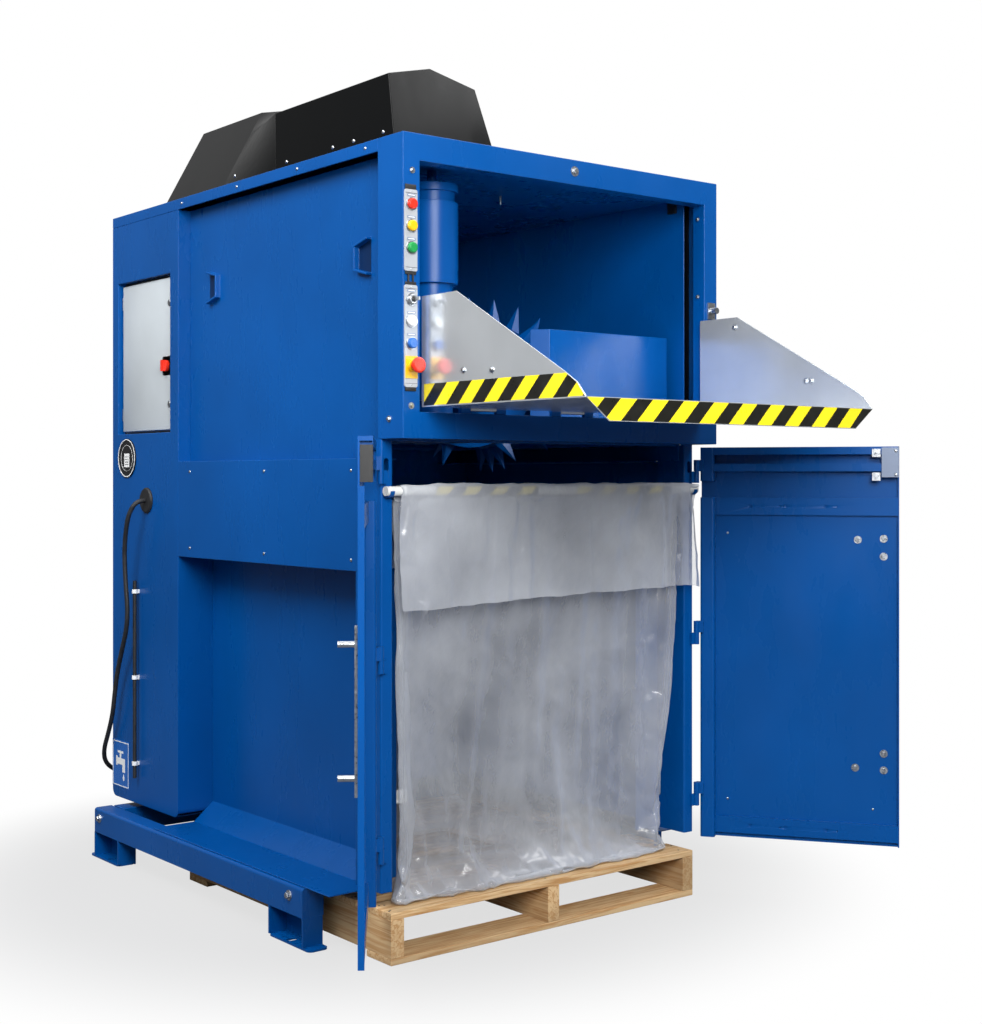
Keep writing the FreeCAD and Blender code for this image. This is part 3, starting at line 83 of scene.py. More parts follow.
class CompactorPaint(bpy.types.PropertyGroup):
    """Colours of the painted sheet and the bare metals."""
    blue: colour_property("Blue", "#00498F", "Powder coat of the housing")
    black: colour_property("Hood black", "#040506", "Powder coat of the roof hood")
    grey: colour_property("Enclosure grey", "#B6BDC2", "Paint of the switch cabinet")
    stainless: colour_property("Stainless", "#E4E9ED", "Sheet of the loading flap")
    zinc: colour_property("Zinc", "#B9BDC2", "Plating of bolts and links")
    edge_radius: length_property("Bend radius", 2.0, "Outside radius of the folded sheet edges")


class CompactorTape(bpy.types.PropertyGroup):
    """Hazard tape on the flap and the bag bar."""
    yellow: colour_property("Yellow", "#F2DC1E", "Yellow of the hazard tape")
    black: colour_property("Black", "#15150F", "Black of the hazard tape")
    pitch: length_property("Stripe pitch", 108.0, "Length along the tape of one yellow and one black stripe")


class CompactorFasteners(bpy.types.PropertyGroup):
    """Sizes of the bolt heads and screws."""
    across: length_property("Hexagon width", 13.0, "Width across the flats of a bolt head")
    height: length_property("Head height", 5.5, "Height of a bolt head")
    washer: length_property("Washer radius", 12.0, "Outer radius of a washer")
    washer_thick: length_property("Washer thickness", 2.0, "Thickness of a washer")


class CompactorFilm(bpy.types.PropertyGroup):
    """Film of the bag."""
    colour: colour_property("Film", "#C8CCD3", "Milky tint of the film")
    creases: length_property("Crease depth", 6.0, "Depth of the sharp creases in the film")


class CompactorStage(bpy.types.PropertyGroup):
    """Camera, lamps and backdrop."""
    place: bpy.props.FloatVectorProperty(name="Camera place", description="Where the camera stands",
                                         default=(-2.996, -4.429, 1.325), subtype="XYZ", unit="LENGTH")
    turn: bpy.props.FloatProperty(name="Camera turn", description="Turn of the view from +Y towards +X",
                                  default=math.radians(38.44), subtype="ANGLE", unit="ROTATION")
    lens: bpy.props.FloatProperty(name="Lens", description="Focal length on a 36 mm wide sensor",
                                  default=54.52, unit="CAMERA", min=1.0)
    rise: bpy.props.FloatProperty(name="Lens shift", description="Upright shift of the lens",
                                  default=-0.0329)
    lamp: bpy.props.FloatProperty(name="Lamp", description="Strength of the key light", default=1.0, min=0.0)
    floor: colour_property("Floor", "#66676A", "Floor and backdrop")


def add(tree, kind, inputs=None, **settings):
    """Node of a kind with its settings, each input set to a value or linked to a socket."""
    made = tree.nodes.new(kind)
    for name, value in settings.items():
        setattr(made, name, value)
    for name, value in (inputs or {}).items():
        socket = made.inputs[name]
        if isinstance(value, bpy.types.NodeSocket):
            tree.links.new(value, socket)
        else:
            socket.default_value = value
    return made


def material_with(name, inputs):
    """Empty material with one Principled shader, its tree and its shader."""
    made = bpy.data.materials.new(name)
    made.use_nodes = True
    tree = made.node_tree
    tree.nodes.clear()
    shader = add(tree, "ShaderNodeBsdfPrincipled", inputs)
    add(tree, "ShaderNodeOutputMaterial", {"Surface": shader.outputs["BSDF"]})
    made.diffuse_color = inputs.get("Base Color", (0.5, 0.5, 0.5, 1.0))
    return made, tree, shader


def object_place(tree, stretch=(1.0, 1.0, 1.0), turn=(0.0, 0.0, 0.0)):
    """Object coordinates in metres, stretched and turned."""
    place = add(tree, "ShaderNodeTexCoord").outputs["Object"]
    return add(tree, "ShaderNodeMapping", {"Vector": place, "Scale": stretch, "Rotation": turn}).outputs["Vector"]


def noise_of(tree, place, size_mm, detail=3.0, roughness=0.5):
    """Noise whose grains are about size_mm wide."""
    return add(tree, "ShaderNodeTexNoise", {"Vector": place, "Scale": 1.0 / (size_mm * MM), "Detail": detail,
                                            "Roughness": roughness}).outputs["Fac"]


def spread(tree, value, low, high, from_low=0.3, from_high=0.7):
    """Value mapped from its usual span to low and high."""
    return add(tree, "ShaderNodeMapRange", {"Value": value, "From Min": from_low, "From Max": from_high,
                                            "To Min": low, "To Max": high}).outputs["Result"]


def shaded(tree, colour, value, darker, lighter):
    """Colour made darker or lighter by a value from 0 to 1."""
    low = tuple(c * darker for c in colour[:3]) + (1.0,)
    high = tuple(min(1.0, c * lighter) for c in colour[:3]) + (1.0,)
    mix = add(tree, "ShaderNodeMix", {"Factor": value}, data_type="RGBA")
    mix.inputs[6].default_value = low
    mix.inputs[7].default_value = high
    return mix.outputs[2]


def powder_coat(name, colour, roughness=0.27, peel_mm=3.2, shine=0.22):
    """Baked polyester powder coat on steel: high gloss with a fine orange peel and faint cloudiness."""
    made, tree, shader = material_with(name, {"Base Color": colour, "IOR": 1.5, "Specular IOR Level": shine})
    place = object_place(tree)
    clouds = noise_of(tree, place, 420.0, 4.0)
    tree.links.new(shaded(tree, colour, spread(tree, clouds, 0.0, 1.0), 0.9, 1.1), shader.inputs["Base Color"])
    smears = noise_of(tree, object_place(tree, (1.0, 1.0, 0.35)), 160.0, 5.0, 0.6)
    tree.links.new(spread(tree, smears, roughness - 0.05, roughness + 0.09), shader.inputs["Roughness"])
    peel = noise_of(tree, place, peel_mm, 1.0)
    bump = add(tree, "ShaderNodeBump", {"Height": peel, "Strength": 0.08, "Distance": 0.3 * MM})
    tree.links.new(bump.outputs["Normal"], shader.inputs["Normal"])
    return made


def brushed_stainless(name, colour):
    """Stainless sheet with an upright brushed grain: long fine streaks that spread its reflections."""
    made, tree, shader = material_with(name, {"Base Color": colour, "Metallic": 0.72, "Specular IOR Level": 0.5})
    streaks = noise_of(tree, object_place(tree, (1.0, 1.0, 0.015)), 1.6, 3.0, 0.6)
    clouds = noise_of(tree, object_place(tree), 260.0, 3.0)
    tree.links.new(spread(tree, streaks, 0.2, 0.225), shader.inputs["Roughness"])
    tree.links.new(shaded(tree, colour, spread(tree, clouds, 0.0, 1.0), 0.86, 1.05), shader.inputs["Base Color"])
    bump = add(tree, "ShaderNodeBump", {"Height": streaks, "Strength": 0.004, "Distance": 0.1 * MM})
    tree.links.new(bump.outputs["Normal"], shader.inputs["Normal"])
    return made


def zinc_plate(name, colour):
    """Bright zinc plated steel, cloudy from the bath."""
    made, tree, shader = material_with(name, {"Base Color": colour, "Metallic": 1.0})
    clouds = noise_of(tree, object_place(tree), 9.0, 4.0)
    tree.links.new(spread(tree, clouds, 0.24, 0.42), shader.inputs["Roughness"])
    tree.links.new(shaded(tree, colour, spread(tree, clouds, 0.0, 1.0), 0.8, 1.1), shader.inputs["Base Color"])
    return made


def moulded_plastic(name, code, roughness=0.35):
    """Injection moulded plastic with a fine spark-eroded grain."""
    colour = linear(code)
    made, tree, shader = material_with(name, {"Base Color": colour, "IOR": 1.49})
    grain = noise_of(tree, object_place(tree), 1.2, 2.0)
    tree.links.new(spread(tree, grain, roughness - 0.05, roughness + 0.06), shader.inputs["Roughness"])
    bump = add(tree, "ShaderNodeBump", {"Height": grain, "Strength": 0.06, "Distance": 0.2 * MM})
    tree.links.new(bump.outputs["Normal"], shader.inputs["Normal"])
    return made


def rubber(name, code):
    """Black rubber, dull with a dusty bloom."""
    colour = linear(code)
    made, tree, shader = material_with(name, {"Base Color": colour, "IOR": 1.5})
    dust = noise_of(tree, object_place(tree), 22.0, 5.0)
    tree.links.new(shaded(tree, colour, spread(tree, dust, 0.0, 1.0), 0.7, 1.7), shader.inputs["Base Color"])
    tree.links.new(spread(tree, dust, 0.45, 0.7), shader.inputs["Roughness"])
    return made


def sawn_pine(name, along):
    """Sawn pine: pale early wood and darker late wood in long bands, a few knots, rough from the saw."""
    pale, dark, knot = linear("#D9B98C"), linear("#B98A55"), linear("#6E4524")
    made, tree, shader = material_with(name, {"Base Color": pale, "IOR": 1.45, "Roughness": 0.75})
    stretch = tuple(0.05 if axis == along else 1.0 for axis in range(3))
    place = object_place(tree, stretch)
    warp = noise_of(tree, object_place(tree, tuple(0.3 if axis == along else 1.0 for axis in range(3))), 60.0, 2.0)
    bands = add(tree, "ShaderNodeTexNoise", {"Vector": place, "Scale": 1 / (11 * MM), "Detail": 3.0,
                                             "Distortion": 1.2}).outputs["Fac"]
    fibres = noise_of(tree, object_place(tree, tuple(0.02 if axis == along else 1.0 for axis in range(3))), 1.5, 3.0)
    late = add(tree, "ShaderNodeMix", {"Factor": spread(tree, bands, 0.0, 1.0, 0.42, 0.62)}, data_type="RGBA")
    late.inputs[6].default_value = pale
    late.inputs[7].default_value = dark
    boards = noise_of(tree, place, 170.0, 1.0)
    toned = add(tree, "ShaderNodeMix", {"Factor": spread(tree, boards, 0.0, 0.55, 0.35, 0.65)}, data_type="RGBA")
    tree.links.new(late.outputs[2], toned.inputs[6])
    toned.inputs[7].default_value = linear("#8F7657")
    cells = add(tree, "ShaderNodeTexVoronoi", {"Vector": object_place(tree, tuple(0.55 if axis == along else 1.0
                                               for axis in range(3))), "Scale": 1 / (150 * MM)}).outputs["Distance"]
    spot = add(tree, "ShaderNodeMapRange", {"Value": cells, "From Min": 0.05, "From Max": 0.11,
                                            "To Min": 0.85, "To Max": 0.0}).outputs["Result"]
    knots = add(tree, "ShaderNodeMix", {"Factor": spot}, data_type="RGBA")
    tree.links.new(toned.outputs[2], knots.inputs[6])
    knots.inputs[7].default_value = knot
    tree.links.new(knots.outputs[2], shader.inputs["Base Color"])
    height = add(tree, "ShaderNodeMath", {0: fibres, 1: warp}, operation="ADD").outputs["Value"]
    bump = add(tree, "ShaderNodeBump", {"Height": height, "Strength": 0.35, "Distance": 0.6 * MM})
    tree.links.new(bump.outputs["Normal"], shader.inputs["Normal"])
    return made


def milky_film(name, colour):
    """Low-density polythene film: milky and glossy, clearer where it faces the eye than at its folds."""
    made, tree, shader = material_with(name, {"Base Color": colour, "IOR": 1.51, "Specular IOR Level": 0.8,
                                              "Coat Weight": 0.5, "Coat Roughness": 0.08})
    place = object_place(tree)
    crinkle = noise_of(tree, place, 26.0, 5.0, 0.62)
    fine = add(tree, "ShaderNodeTexVoronoi", {"Vector": place, "Scale": 1 / (34 * MM)},
               feature="DISTANCE_TO_EDGE").outputs["Distance"]
    tree.links.new(spread(tree, crinkle, 0.12, 0.26), shader.inputs["Roughness"])
    both = add(tree, "ShaderNodeMath", {0: crinkle, 1: fine}, operation="ADD").outputs["Value"]
    bump = add(tree, "ShaderNodeBump", {"Height": both, "Strength": 0.4, "Distance": 3.0 * MM})
    tree.links.new(bump.outputs["Normal"], shader.inputs["Normal"])
    slant = add(tree, "ShaderNodeLayerWeight", {"Blend": 0.35, "Normal": bump.outputs["Normal"]}).outputs["Facing"]
    haze = noise_of(tree, place, 260.0, 3.0)
    milk = add(tree, "ShaderNodeMath", {0: spread(tree, slant, 0.3, 0.9, 0.0, 0.85), 1: spread(tree, haze, -0.13, 0.13)},
               operation="ADD").outputs["Value"]
    layers = add(tree, "ShaderNodeAttribute", attribute_name="layers").outputs["Fac"]
    thick = add(tree, "ShaderNodeMath", {0: milk, 1: layers}, operation="ADD", use_clamp=True).outputs["Value"]
    tree.links.new(thick, shader.inputs["Alpha"])
    return made


def finishes():
    """Material of each of the record's material slots."""
    paint = bpy.context.scene.compactor_paint
    return {
        "blue_paint": powder_coat("Powder coat blue", paint.blue),
        "black_sheet": powder_coat("Powder coat black", paint.black, 0.16, 3.2, 0.16),
        "grey_enclosure": powder_coat("Enclosure enamel", paint.grey, 0.4),
        "black_plastic": moulded_plastic("Glass-filled nylon black", "#17181A", 0.42),
        "rubber": rubber("Rubber black", "#16171A"),
        "red_plastic": moulded_plastic("ABS red", "#DC2F1C", 0.28),
        "yellow_plastic": moulded_plastic("ABS yellow", "#EBB412", 0.3),
        "green_plastic": moulded_plastic("ABS green", "#1E8C46", 0.28),
        "white_plastic": moulded_plastic("ABS white", "#E6E8E8", 0.3),
        "blue_plastic": moulded_plastic("ABS blue", "#1C5FB0", 0.28),
        "zinc_steel": zinc_plate("Zinc plated steel", paint.zinc),
        "stainless": brushed_stainless("Brushed stainless", paint.stainless),
        "bar_paint": powder_coat("Enamel white", linear("#D9DAD6"), 0.35),
        "timber": sawn_pine("Sawn pine boards", 0),
        "pocket_blue": powder_coat("Powder coat blue in shade", linear("#01224A"), 0.45),
        "box_grey": moulded_plastic("Polycarbonate grey", "#A4A8AE", 0.33),
        "striker_grey": powder_coat("Enamel grey", linear("#7F8BA1"), 0.38),
        "timber_long": sawn_pine("Sawn pine stringers", 1),
        "film": milky_film("Polythene film", bpy.context.scene.compactor_film.colour),
    }


def finish_of(slot):
    """Material of a slot, made once."""
    store = finish_of.__dict__.setdefault("made", {})
    if not store:
        store.update(finishes())
        for name, finish in store.items():
            finish["slot"] = SLOT_OF_FINISH.get(name, name)
    return store[slot]


SLOT_OF_FINISH = {"timber_long": "timber", "striker_grey": "zinc_steel", "pocket_blue": "blue_paint",
                  "box_grey": "grey_enclosure"}


def at(x, y, z):
    """Point in metres from millimetres off the left wall, the front and the floor."""
    return Vector(((x - 605.0) * MM, (y - 1038.0) * MM, z * MM))


def piece_from(name, build, finish, body, smooth=None):
    """Finished object of a bmesh that the build function fills, riding on a body."""
    shape = bmesh.new()
    build(shape)
    bmesh.ops.recalc_face_normals(shape, faces=shape.faces)
    mesh = bpy.data.meshes.new(name)
    shape.to_mesh(mesh)
    shape.free()
    made = bpy.data.objects.new(name, mesh)
    bpy.context.scene.collection.objects.link(made)
    mesh.materials.append(finish)
    if smooth is not None:
        smooth_by_angle(mesh, smooth)
    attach(made, body)
    return made


def smooth_by_angle(mesh, angle):
    """Smooth shading, with the edges sharper than the angle kept sharp."""
    for face in mesh.polygons:
        face.use_smooth = True
    mesh.set_sharp_from_angle(angle=angle)


def block(shape, low, high, round_mm=0.0):
    """Box between two corners in millimetres off the left wall, the front and the floor."""
    a, b = at(*low), at(*high)
    size = b - a
    made = bmesh.ops.create_cube(shape, size=1.0)["verts"]
    place = Matrix.Translation((a + b) / 2) @ Matrix.Diagonal((abs(size.x), abs(size.y), abs(size.z), 1.0))
    bmesh.ops.transform(shape, matrix=place, verts=made)
    if round_mm:
        edges = list({edge for vert in made for edge in vert.link_edges})
        bmesh.ops.bevel(shape, geom=edges, offset=round_mm * MM, segments=2, affect="EDGES", profile=0.5)


def turned_disc(shape, centre, facing, profile, steps=40):
    """Turned form whose profile gives radius and rise in millimetres along a facing direction."""
    turn = Vector(facing).to_track_quat("Z", "Y").to_matrix().to_4x4()
    place = Matrix.Translation(at(*centre)) @ turn
    rings = []
    for radius, rise in profile:
        if radius == 0.0:
            rings.append([shape.verts.new(place @ Vector((0.0, 0.0, rise * MM)))])
            continue
        ring = []
        for i in range(steps):
            a = 2 * math.pi * i / steps
            ring.append(shape.verts.new(place @ Vector((radius * MM * math.cos(a), radius * MM * math.sin(a), rise * MM))))
        rings.append(ring)
    for low, high in zip(rings, rings[1:]):
        for i in range(steps):
            j = (i + 1) % steps
            corners = [low[i % len(low)], low[j % len(low)], high[j % len(high)], high[i % len(high)]]
            unique = list(dict.fromkeys(corners))
            if len(unique) > 2:
                shape.faces.new(unique)


def strip(shape, corners, lift, facing, along, across):
    """Thin tape on a flat outline, with its stripe coordinates in metres along and across."""
    push = Vector(facing) * lift * MM
    points = [at(*corner) for corner in corners]
    layer = shape.loops.layers.uv.verify()
    front = [shape.verts.new(point + push) for point in points]
    back = [shape.verts.new(point) for point in points]
    faces = [shape.faces.new(front), shape.faces.new(back[::-1])]
    for i in range(len(points)):
        j = (i + 1) % len(points)
        faces.append(shape.faces.new((front[i], back[i], back[j], front[j])))
    for face in faces:
        for loop in face.loops:
            loop[layer].uv = (loop.vert.co.dot(Vector(along)), loop.vert.co.dot(Vector(across)))


def edges_softened(node, radius, limit):
    """Copy of a CAD node whose folded edges are rounded, which is shown in its stead."""
    shape = bmesh.new()
    shape.from_mesh(node.data)
    shape.transform(node.matrix_world)
    bmesh.ops.remove_doubles(shape, verts=shape.verts, dist=0.01 * MM)
    bmesh.ops.dissolve_limit(shape, angle_limit=math.radians(0.4), verts=shape.verts, edges=shape.edges)
    sharp = [edge for edge in shape.edges if len(edge.link_faces) == 2
             and edge.calc_face_angle(0.0) > math.radians(limit) and edge.calc_length() > radius]
    bmesh.ops.bevel(shape, geom=sharp, offset=radius, segments=2, profile=0.5, affect="EDGES",
                    clamp_overlap=True, harden_normals=False)
    bmesh.ops.triangulate(shape, faces=[face for face in shape.faces if len(face.verts) > 4])
    mesh = bpy.data.meshes.new(node.name + ".soft")
    shape.to_mesh(mesh)
    shape.free()
    smooth_by_angle(mesh, math.radians(1 if node.name in FLAT_FACED else 32))
    made = bpy.data.objects.new(node.name + ".soft", mesh)
    bpy.context.scene.collection.objects.link(made)
    weighted = made.modifiers.new("Weighted", "WEIGHTED_NORMAL")
    weighted.keep_sharp = True
    bpy.context.view_layer.update()
    made.data = bpy.data.meshes.new_from_object(made.evaluated_get(bpy.context.evaluated_depsgraph_get()))
    made.modifiers.clear()
    return made


class CompactorFinishFrame(bpy.types.Operator):
    """Give every CAD node its finish, and round the edges of the folded sheets"""
    bl_idname = "compactor.finish_frame"
    bl_label = "Finish the frame"

    def execute(self, context):
        radius = context.scene.compactor_paint.edge_radius
        for part in frame["record"]["subparts"]:
            name, slot = part["node"], part["material_slot"]
            node = frame["nodes"][name]
            finish = finish_of(OTHER_FINISH.get(name, slot))
            node.data.materials.clear()
            node.data.materials.append(finish)
            if name in LEFT_PLAIN:
                continue
            soft = edges_softened(node, SMALL_RADIUS * MM if name in SMALL_PARTS else radius, 25.0)
            soft.data.materials.append(finish)
            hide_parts(name)
            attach(soft, body_of_node(name))
        return {"FINISHED"}


def body_of_node(name):
    """Body of the record that a CAD node belongs to."""
    for body, names in frame["record"]["behaviour"]["bodies"].items():
        if name in names:
            return body
    raise KeyError(f"no body holds the node {name}")


def turn_on_hinge(shape, side, angle=125.0):
    """Turn a shape made on a shut door to where the open door stands."""
    axis = Vector((side * 0.612, -0.943, 0.0))
    turn = Matrix.Rotation(math.radians(angle * side), 4, "Z")
    shape.transform(Matrix.Translation(axis) @ turn @ Matrix.Translation(-axis))


SMALL_RADIUS = 0.6
SMALL_PARTS = {
    "red_button", "yellow_button", "green_button", "white_button", "blue_button", "key_switch", "stop_button",
    "stop_collar", "main_switch", "main_switch_knob", "flap_catch", "hose_clips", "round_plate", "cable_grommet",
    "upper_control_box", "lower_control_box", "loading_flap", "latch_bar", "flap_hinge", "switch_housing",
    "striker_plate", "electrical_enclosure",
}
FLAT_FACED = {"front_hood", "rear_hood"}
LEFT_PLAIN = {"bag", "power_cable", "rotor_drum", "drain_hose", "bag_bar", "cable_gland"}
OTHER_FINISH = {"pallet_stringers": "timber_long", "striker_plate": "striker_grey", "upper_control_box": "box_grey",
                "lower_control_box": "box_grey"}


def tree_with(name, lengths):
    """Geometry node tree with a mesh going in and out, named lengths and a material."""
    tree = bpy.data.node_groups.new(name, "GeometryNodeTree")
    tree.interface.new_socket("Geometry", in_out="INPUT", socket_type="NodeSocketGeometry")
    for label, mm in lengths.items():
        socket = tree.interface.new_socket(label, in_out="INPUT", socket_type="NodeSocketFloat")
        socket.subtype = "DISTANCE"
        socket.default_value = mm * MM
    tree.interface.new_socket("Material", in_out="INPUT", socket_type="NodeSocketMaterial")
    tree.interface.new_socket("Geometry", in_out="OUTPUT", socket_type="NodeSocketGeometry")
    tree.is_modifier = True
    return tree, add(tree, "NodeGroupInput").outputs


def maths(tree, kind, a, b):
    """Result of one sum of two values."""
    return add(tree, "ShaderNodeMath", {0: a, 1: b}, operation=kind).outputs["Value"]


def drum_of(tree, corners, radius, depth, base, top_radius=None):
    """Round or many-sided block that stands on a base height."""
    made = add(tree, "GeometryNodeMeshCone", {"Vertices": corners, "Radius Bottom": radius,
                                              "Radius Top": top_radius or radius, "Depth": depth})
    rise = add(tree, "ShaderNodeCombineXYZ", {"Z": base})
    return add(tree, "GeometryNodeTransform", {"Geometry": made.outputs["Mesh"],
                                               "Translation": rise.outputs["Vector"]}).outputs["Geometry"]


def end_tree(tree, head, inputs):
    """Set the head on every point, facing the way the point's attribute says, and finish the tree."""
    facing = add(tree, "GeometryNodeInputNamedAttribute", {"Name": "facing"}, data_type="FLOAT_VECTOR")
    aligned = add(tree, "FunctionNodeAlignRotationToVector", {"Vector": facing.outputs["Attribute"]}, axis="Z")
    spin = random_angle(tree)
    local = add(tree, "FunctionNodeAxisAngleToRotation", {"Axis": (0.0, 0.0, 1.0), "Angle": spin})
    turn = add(tree, "FunctionNodeRotateRotation", {"Rotation": aligned.outputs["Rotation"],
                                                    "Rotate By": local.outputs["Rotation"]}, rotation_space="LOCAL")
    placed = add(tree, "GeometryNodeInstanceOnPoints", {"Points": inputs["Geometry"], "Instance": head,
                                                        "Rotation": turn.outputs["Rotation"]})
    real = add(tree, "GeometryNodeRealizeInstances", {"Geometry": placed.outputs["Instances"]})
    finished = add(tree, "GeometryNodeSetMaterial", {"Geometry": real.outputs["Geometry"],
                                                     "Material": inputs["Material"]})
    add(tree, "NodeGroupOutput", {"Geometry": finished.outputs["Geometry"]})
    return tree


def random_angle(tree):
    """Random turn from 0 to a full circle, with a fixed seed."""
    made = add(tree, "FunctionNodeRandomValue", data_type="FLOAT")
    for socket in made.inputs:
        if socket.type == "VALUE" and socket.name == "Max":
            socket.default_value = 2 * math.pi
        if socket.name == "Seed":
            socket.default_value = 4
    return next(socket for socket in made.outputs if socket.type == "VALUE")


def joined_of(tree, shapes):
    """Several shapes as one."""
    joint = add(tree, "GeometryNodeJoinGeometry")
    for shape in shapes:
        tree.links.new(shape, joint.inputs["Geometry"])
    return joint.outputs["Geometry"]


def bolt_tree():
    """Hexagon bolt head with a chamfered top on a round washer."""
    sizes = bpy.context.scene.compactor_fasteners
    tree, inputs = tree_with("Hexagon bolts", {"Across": sizes.across / MM, "Height": sizes.height / MM,
                                               "Washer Radius": sizes.washer / MM,
                                               "Washer Thickness": sizes.washer_thick / MM})
    radius = maths(tree, "DIVIDE", inputs["Across"], 3 ** 0.5)
    low = maths(tree, "MULTIPLY", inputs["Height"], 0.78)
    top = maths(tree, "MULTIPLY", inputs["Height"], 0.22)
    hexagon = drum_of(tree, 6, radius, low, inputs["Washer Thickness"])
    chamfer = drum_of(tree, 6, radius, top, maths(tree, "ADD", inputs["Washer Thickness"], low),
                      maths(tree, "MULTIPLY", radius, 0.84))
    washer = drum_of(tree, 28, inputs["Washer Radius"], inputs["Washer Thickness"], 0.0,
                     maths(tree, "MULTIPLY", inputs["Washer Radius"], 0.96))
    return end_tree(tree, joined_of(tree, [hexagon, chamfer, washer]), inputs)


def screw_tree():
    """Round screw head with a sloping rim and a raised middle."""
    tree, inputs = tree_with("Round screws", {"Head Radius": 5.0, "Height": 2.6})
    low = maths(tree, "MULTIPLY", inputs["Height"], 0.55)
    rim = drum_of(tree, 20, inputs["Head Radius"], low, 0.0, maths(tree, "MULTIPLY", inputs["Head Radius"], 0.9))
    dome = drum_of(tree, 20, maths(tree, "MULTIPLY", inputs["Head Radius"], 0.9), maths(tree, "SUBTRACT",
                   inputs["Height"], low), low, maths(tree, "MULTIPLY", inputs["Head Radius"], 0.5))
    return end_tree(tree, joined_of(tree, [rim, dome]), inputs)


def tree_of(kind):
    """Geometry node tree of a kind of fastener, made once."""
    names = {"bolt": "Hexagon bolts", "screw": "Round screws"}
    return bpy.data.node_groups.get(names[kind]) or {"bolt": bolt_tree, "screw": screw_tree}[kind]()


def fastened(name, kind, places, finish, body, **lengths):
    """Fasteners of one kind on one body, from (x, y, z, facing) places in millimetres."""
    mesh = bpy.data.meshes.new(name)
    mesh.from_pydata([at(*place[:3]) for place in places], [], [])
    facing = mesh.attributes.new("facing", "FLOAT_VECTOR", "POINT")
    facing.data.foreach_set("vector", [value for place in places for value in Vector(place[3]).normalized()])
    points = bpy.data.objects.new(name, mesh)
    bpy.context.scene.collection.objects.link(points)
    modifier = points.modifiers.new(kind, "NODES")
    modifier.node_group = tree_of(kind)
    for item in modifier.node_group.interface.items_tree:
        if item.item_type == "SOCKET" and item.in_out == "INPUT":
            key = item.name.lower().replace(" ", "_")
            if item.name == "Material":
                modifier[item.identifier] = finish
            elif key in lengths:
                modifier[item.identifier] = lengths[key] * MM
    bpy.context.view_layer.update()
    made_mesh = bpy.data.meshes.new_from_object(points.evaluated_get(bpy.context.evaluated_depsgraph_get()))
    points.modifiers.clear()
    points.data = made_mesh
    smooth_by_angle(made_mesh, math.radians(25))
    if not made_mesh.polygons:
        raise ValueError(f"{name} came out empty")
    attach(points, body)
    return points


LEFTWARD, RIGHTWARD = (-1.0, 0.0, 0.0), (1.0, 0.0, 0.0)
FORWARD, BACKWARD = (0.0, -1.0, 0.0), (0.0, 1.0, 0.0)
UPWARD, DOWNWARD = (0.0, 0.0, 1.0), (0.0, 0.0, -1.0)


def swung(point, facing, side, angle=125.0):
    """Place and direction on a shut door, turned to where the open door stands."""
    axis = Vector(((-612.0 if side < 0 else 612.0), 95.0 - 1038.0))
    turn = math.radians(-angle if side < 0 else angle)
    def spun(x, y):
        return x * math.cos(turn) - y * math.sin(turn), x * math.sin(turn) + y * math.cos(turn)
    x, y = spun(point[0] - 605.0 - axis.x, point[1] - 1038.0 - axis.y)
    fx, fy = spun(facing[0], facing[1])
    return (x + axis.x + 605.0, y + axis.y + 1038.0, point[2], (fx, fy, facing[2]))


def hazard_tape(name, tape):
    """Self-adhesive hazard tape: slanting yellow and black stripes, glossy vinyl with scuffed patches."""
    made, tree, shader = material_with(name, {"Base Color": tape.yellow, "IOR": 1.52, "Coat Weight": 0.2})
    made["slot"] = "yellow_plastic"
    split = add(tree, "ShaderNodeSeparateXYZ", {"Vector": add(tree, "ShaderNodeUVMap").outputs["UV"]})
    run = add(tree, "ShaderNodeMath", {0: split.outputs["X"], 1: split.outputs["Y"]}, operation="SUBTRACT")
    share = add(tree, "ShaderNodeMath", {0: run.outputs["Value"], 1: tape.pitch}, operation="DIVIDE")
    part = add(tree, "ShaderNodeMath", {0: share.outputs["Value"]}, operation="FRACT")
    dark = add(tree, "ShaderNodeMath", {0: part.outputs["Value"], 1: 0.5}, operation="GREATER_THAN")
    stripes = add(tree, "ShaderNodeMix", {"Factor": dark.outputs["Value"]}, data_type="RGBA")
    stripes.inputs[6].default_value = tape.yellow
    stripes.inputs[7].default_value = tape.black
    tree.links.new(stripes.outputs[2], shader.inputs["Base Color"])
    scuffs = noise_of(tree, object_place(tree), 45.0, 5.0, 0.65)
    tree.links.new(spread(tree, scuffs, 0.22, 0.5), shader.inputs["Roughness"])
    return made


FLAP_LEFT, FLAP_RIGHT = 66.0, 1144.0
FLAP_PIVOT, FLAP_TIP = 6.0, -654.0
FLAP_BASE = 1517.0


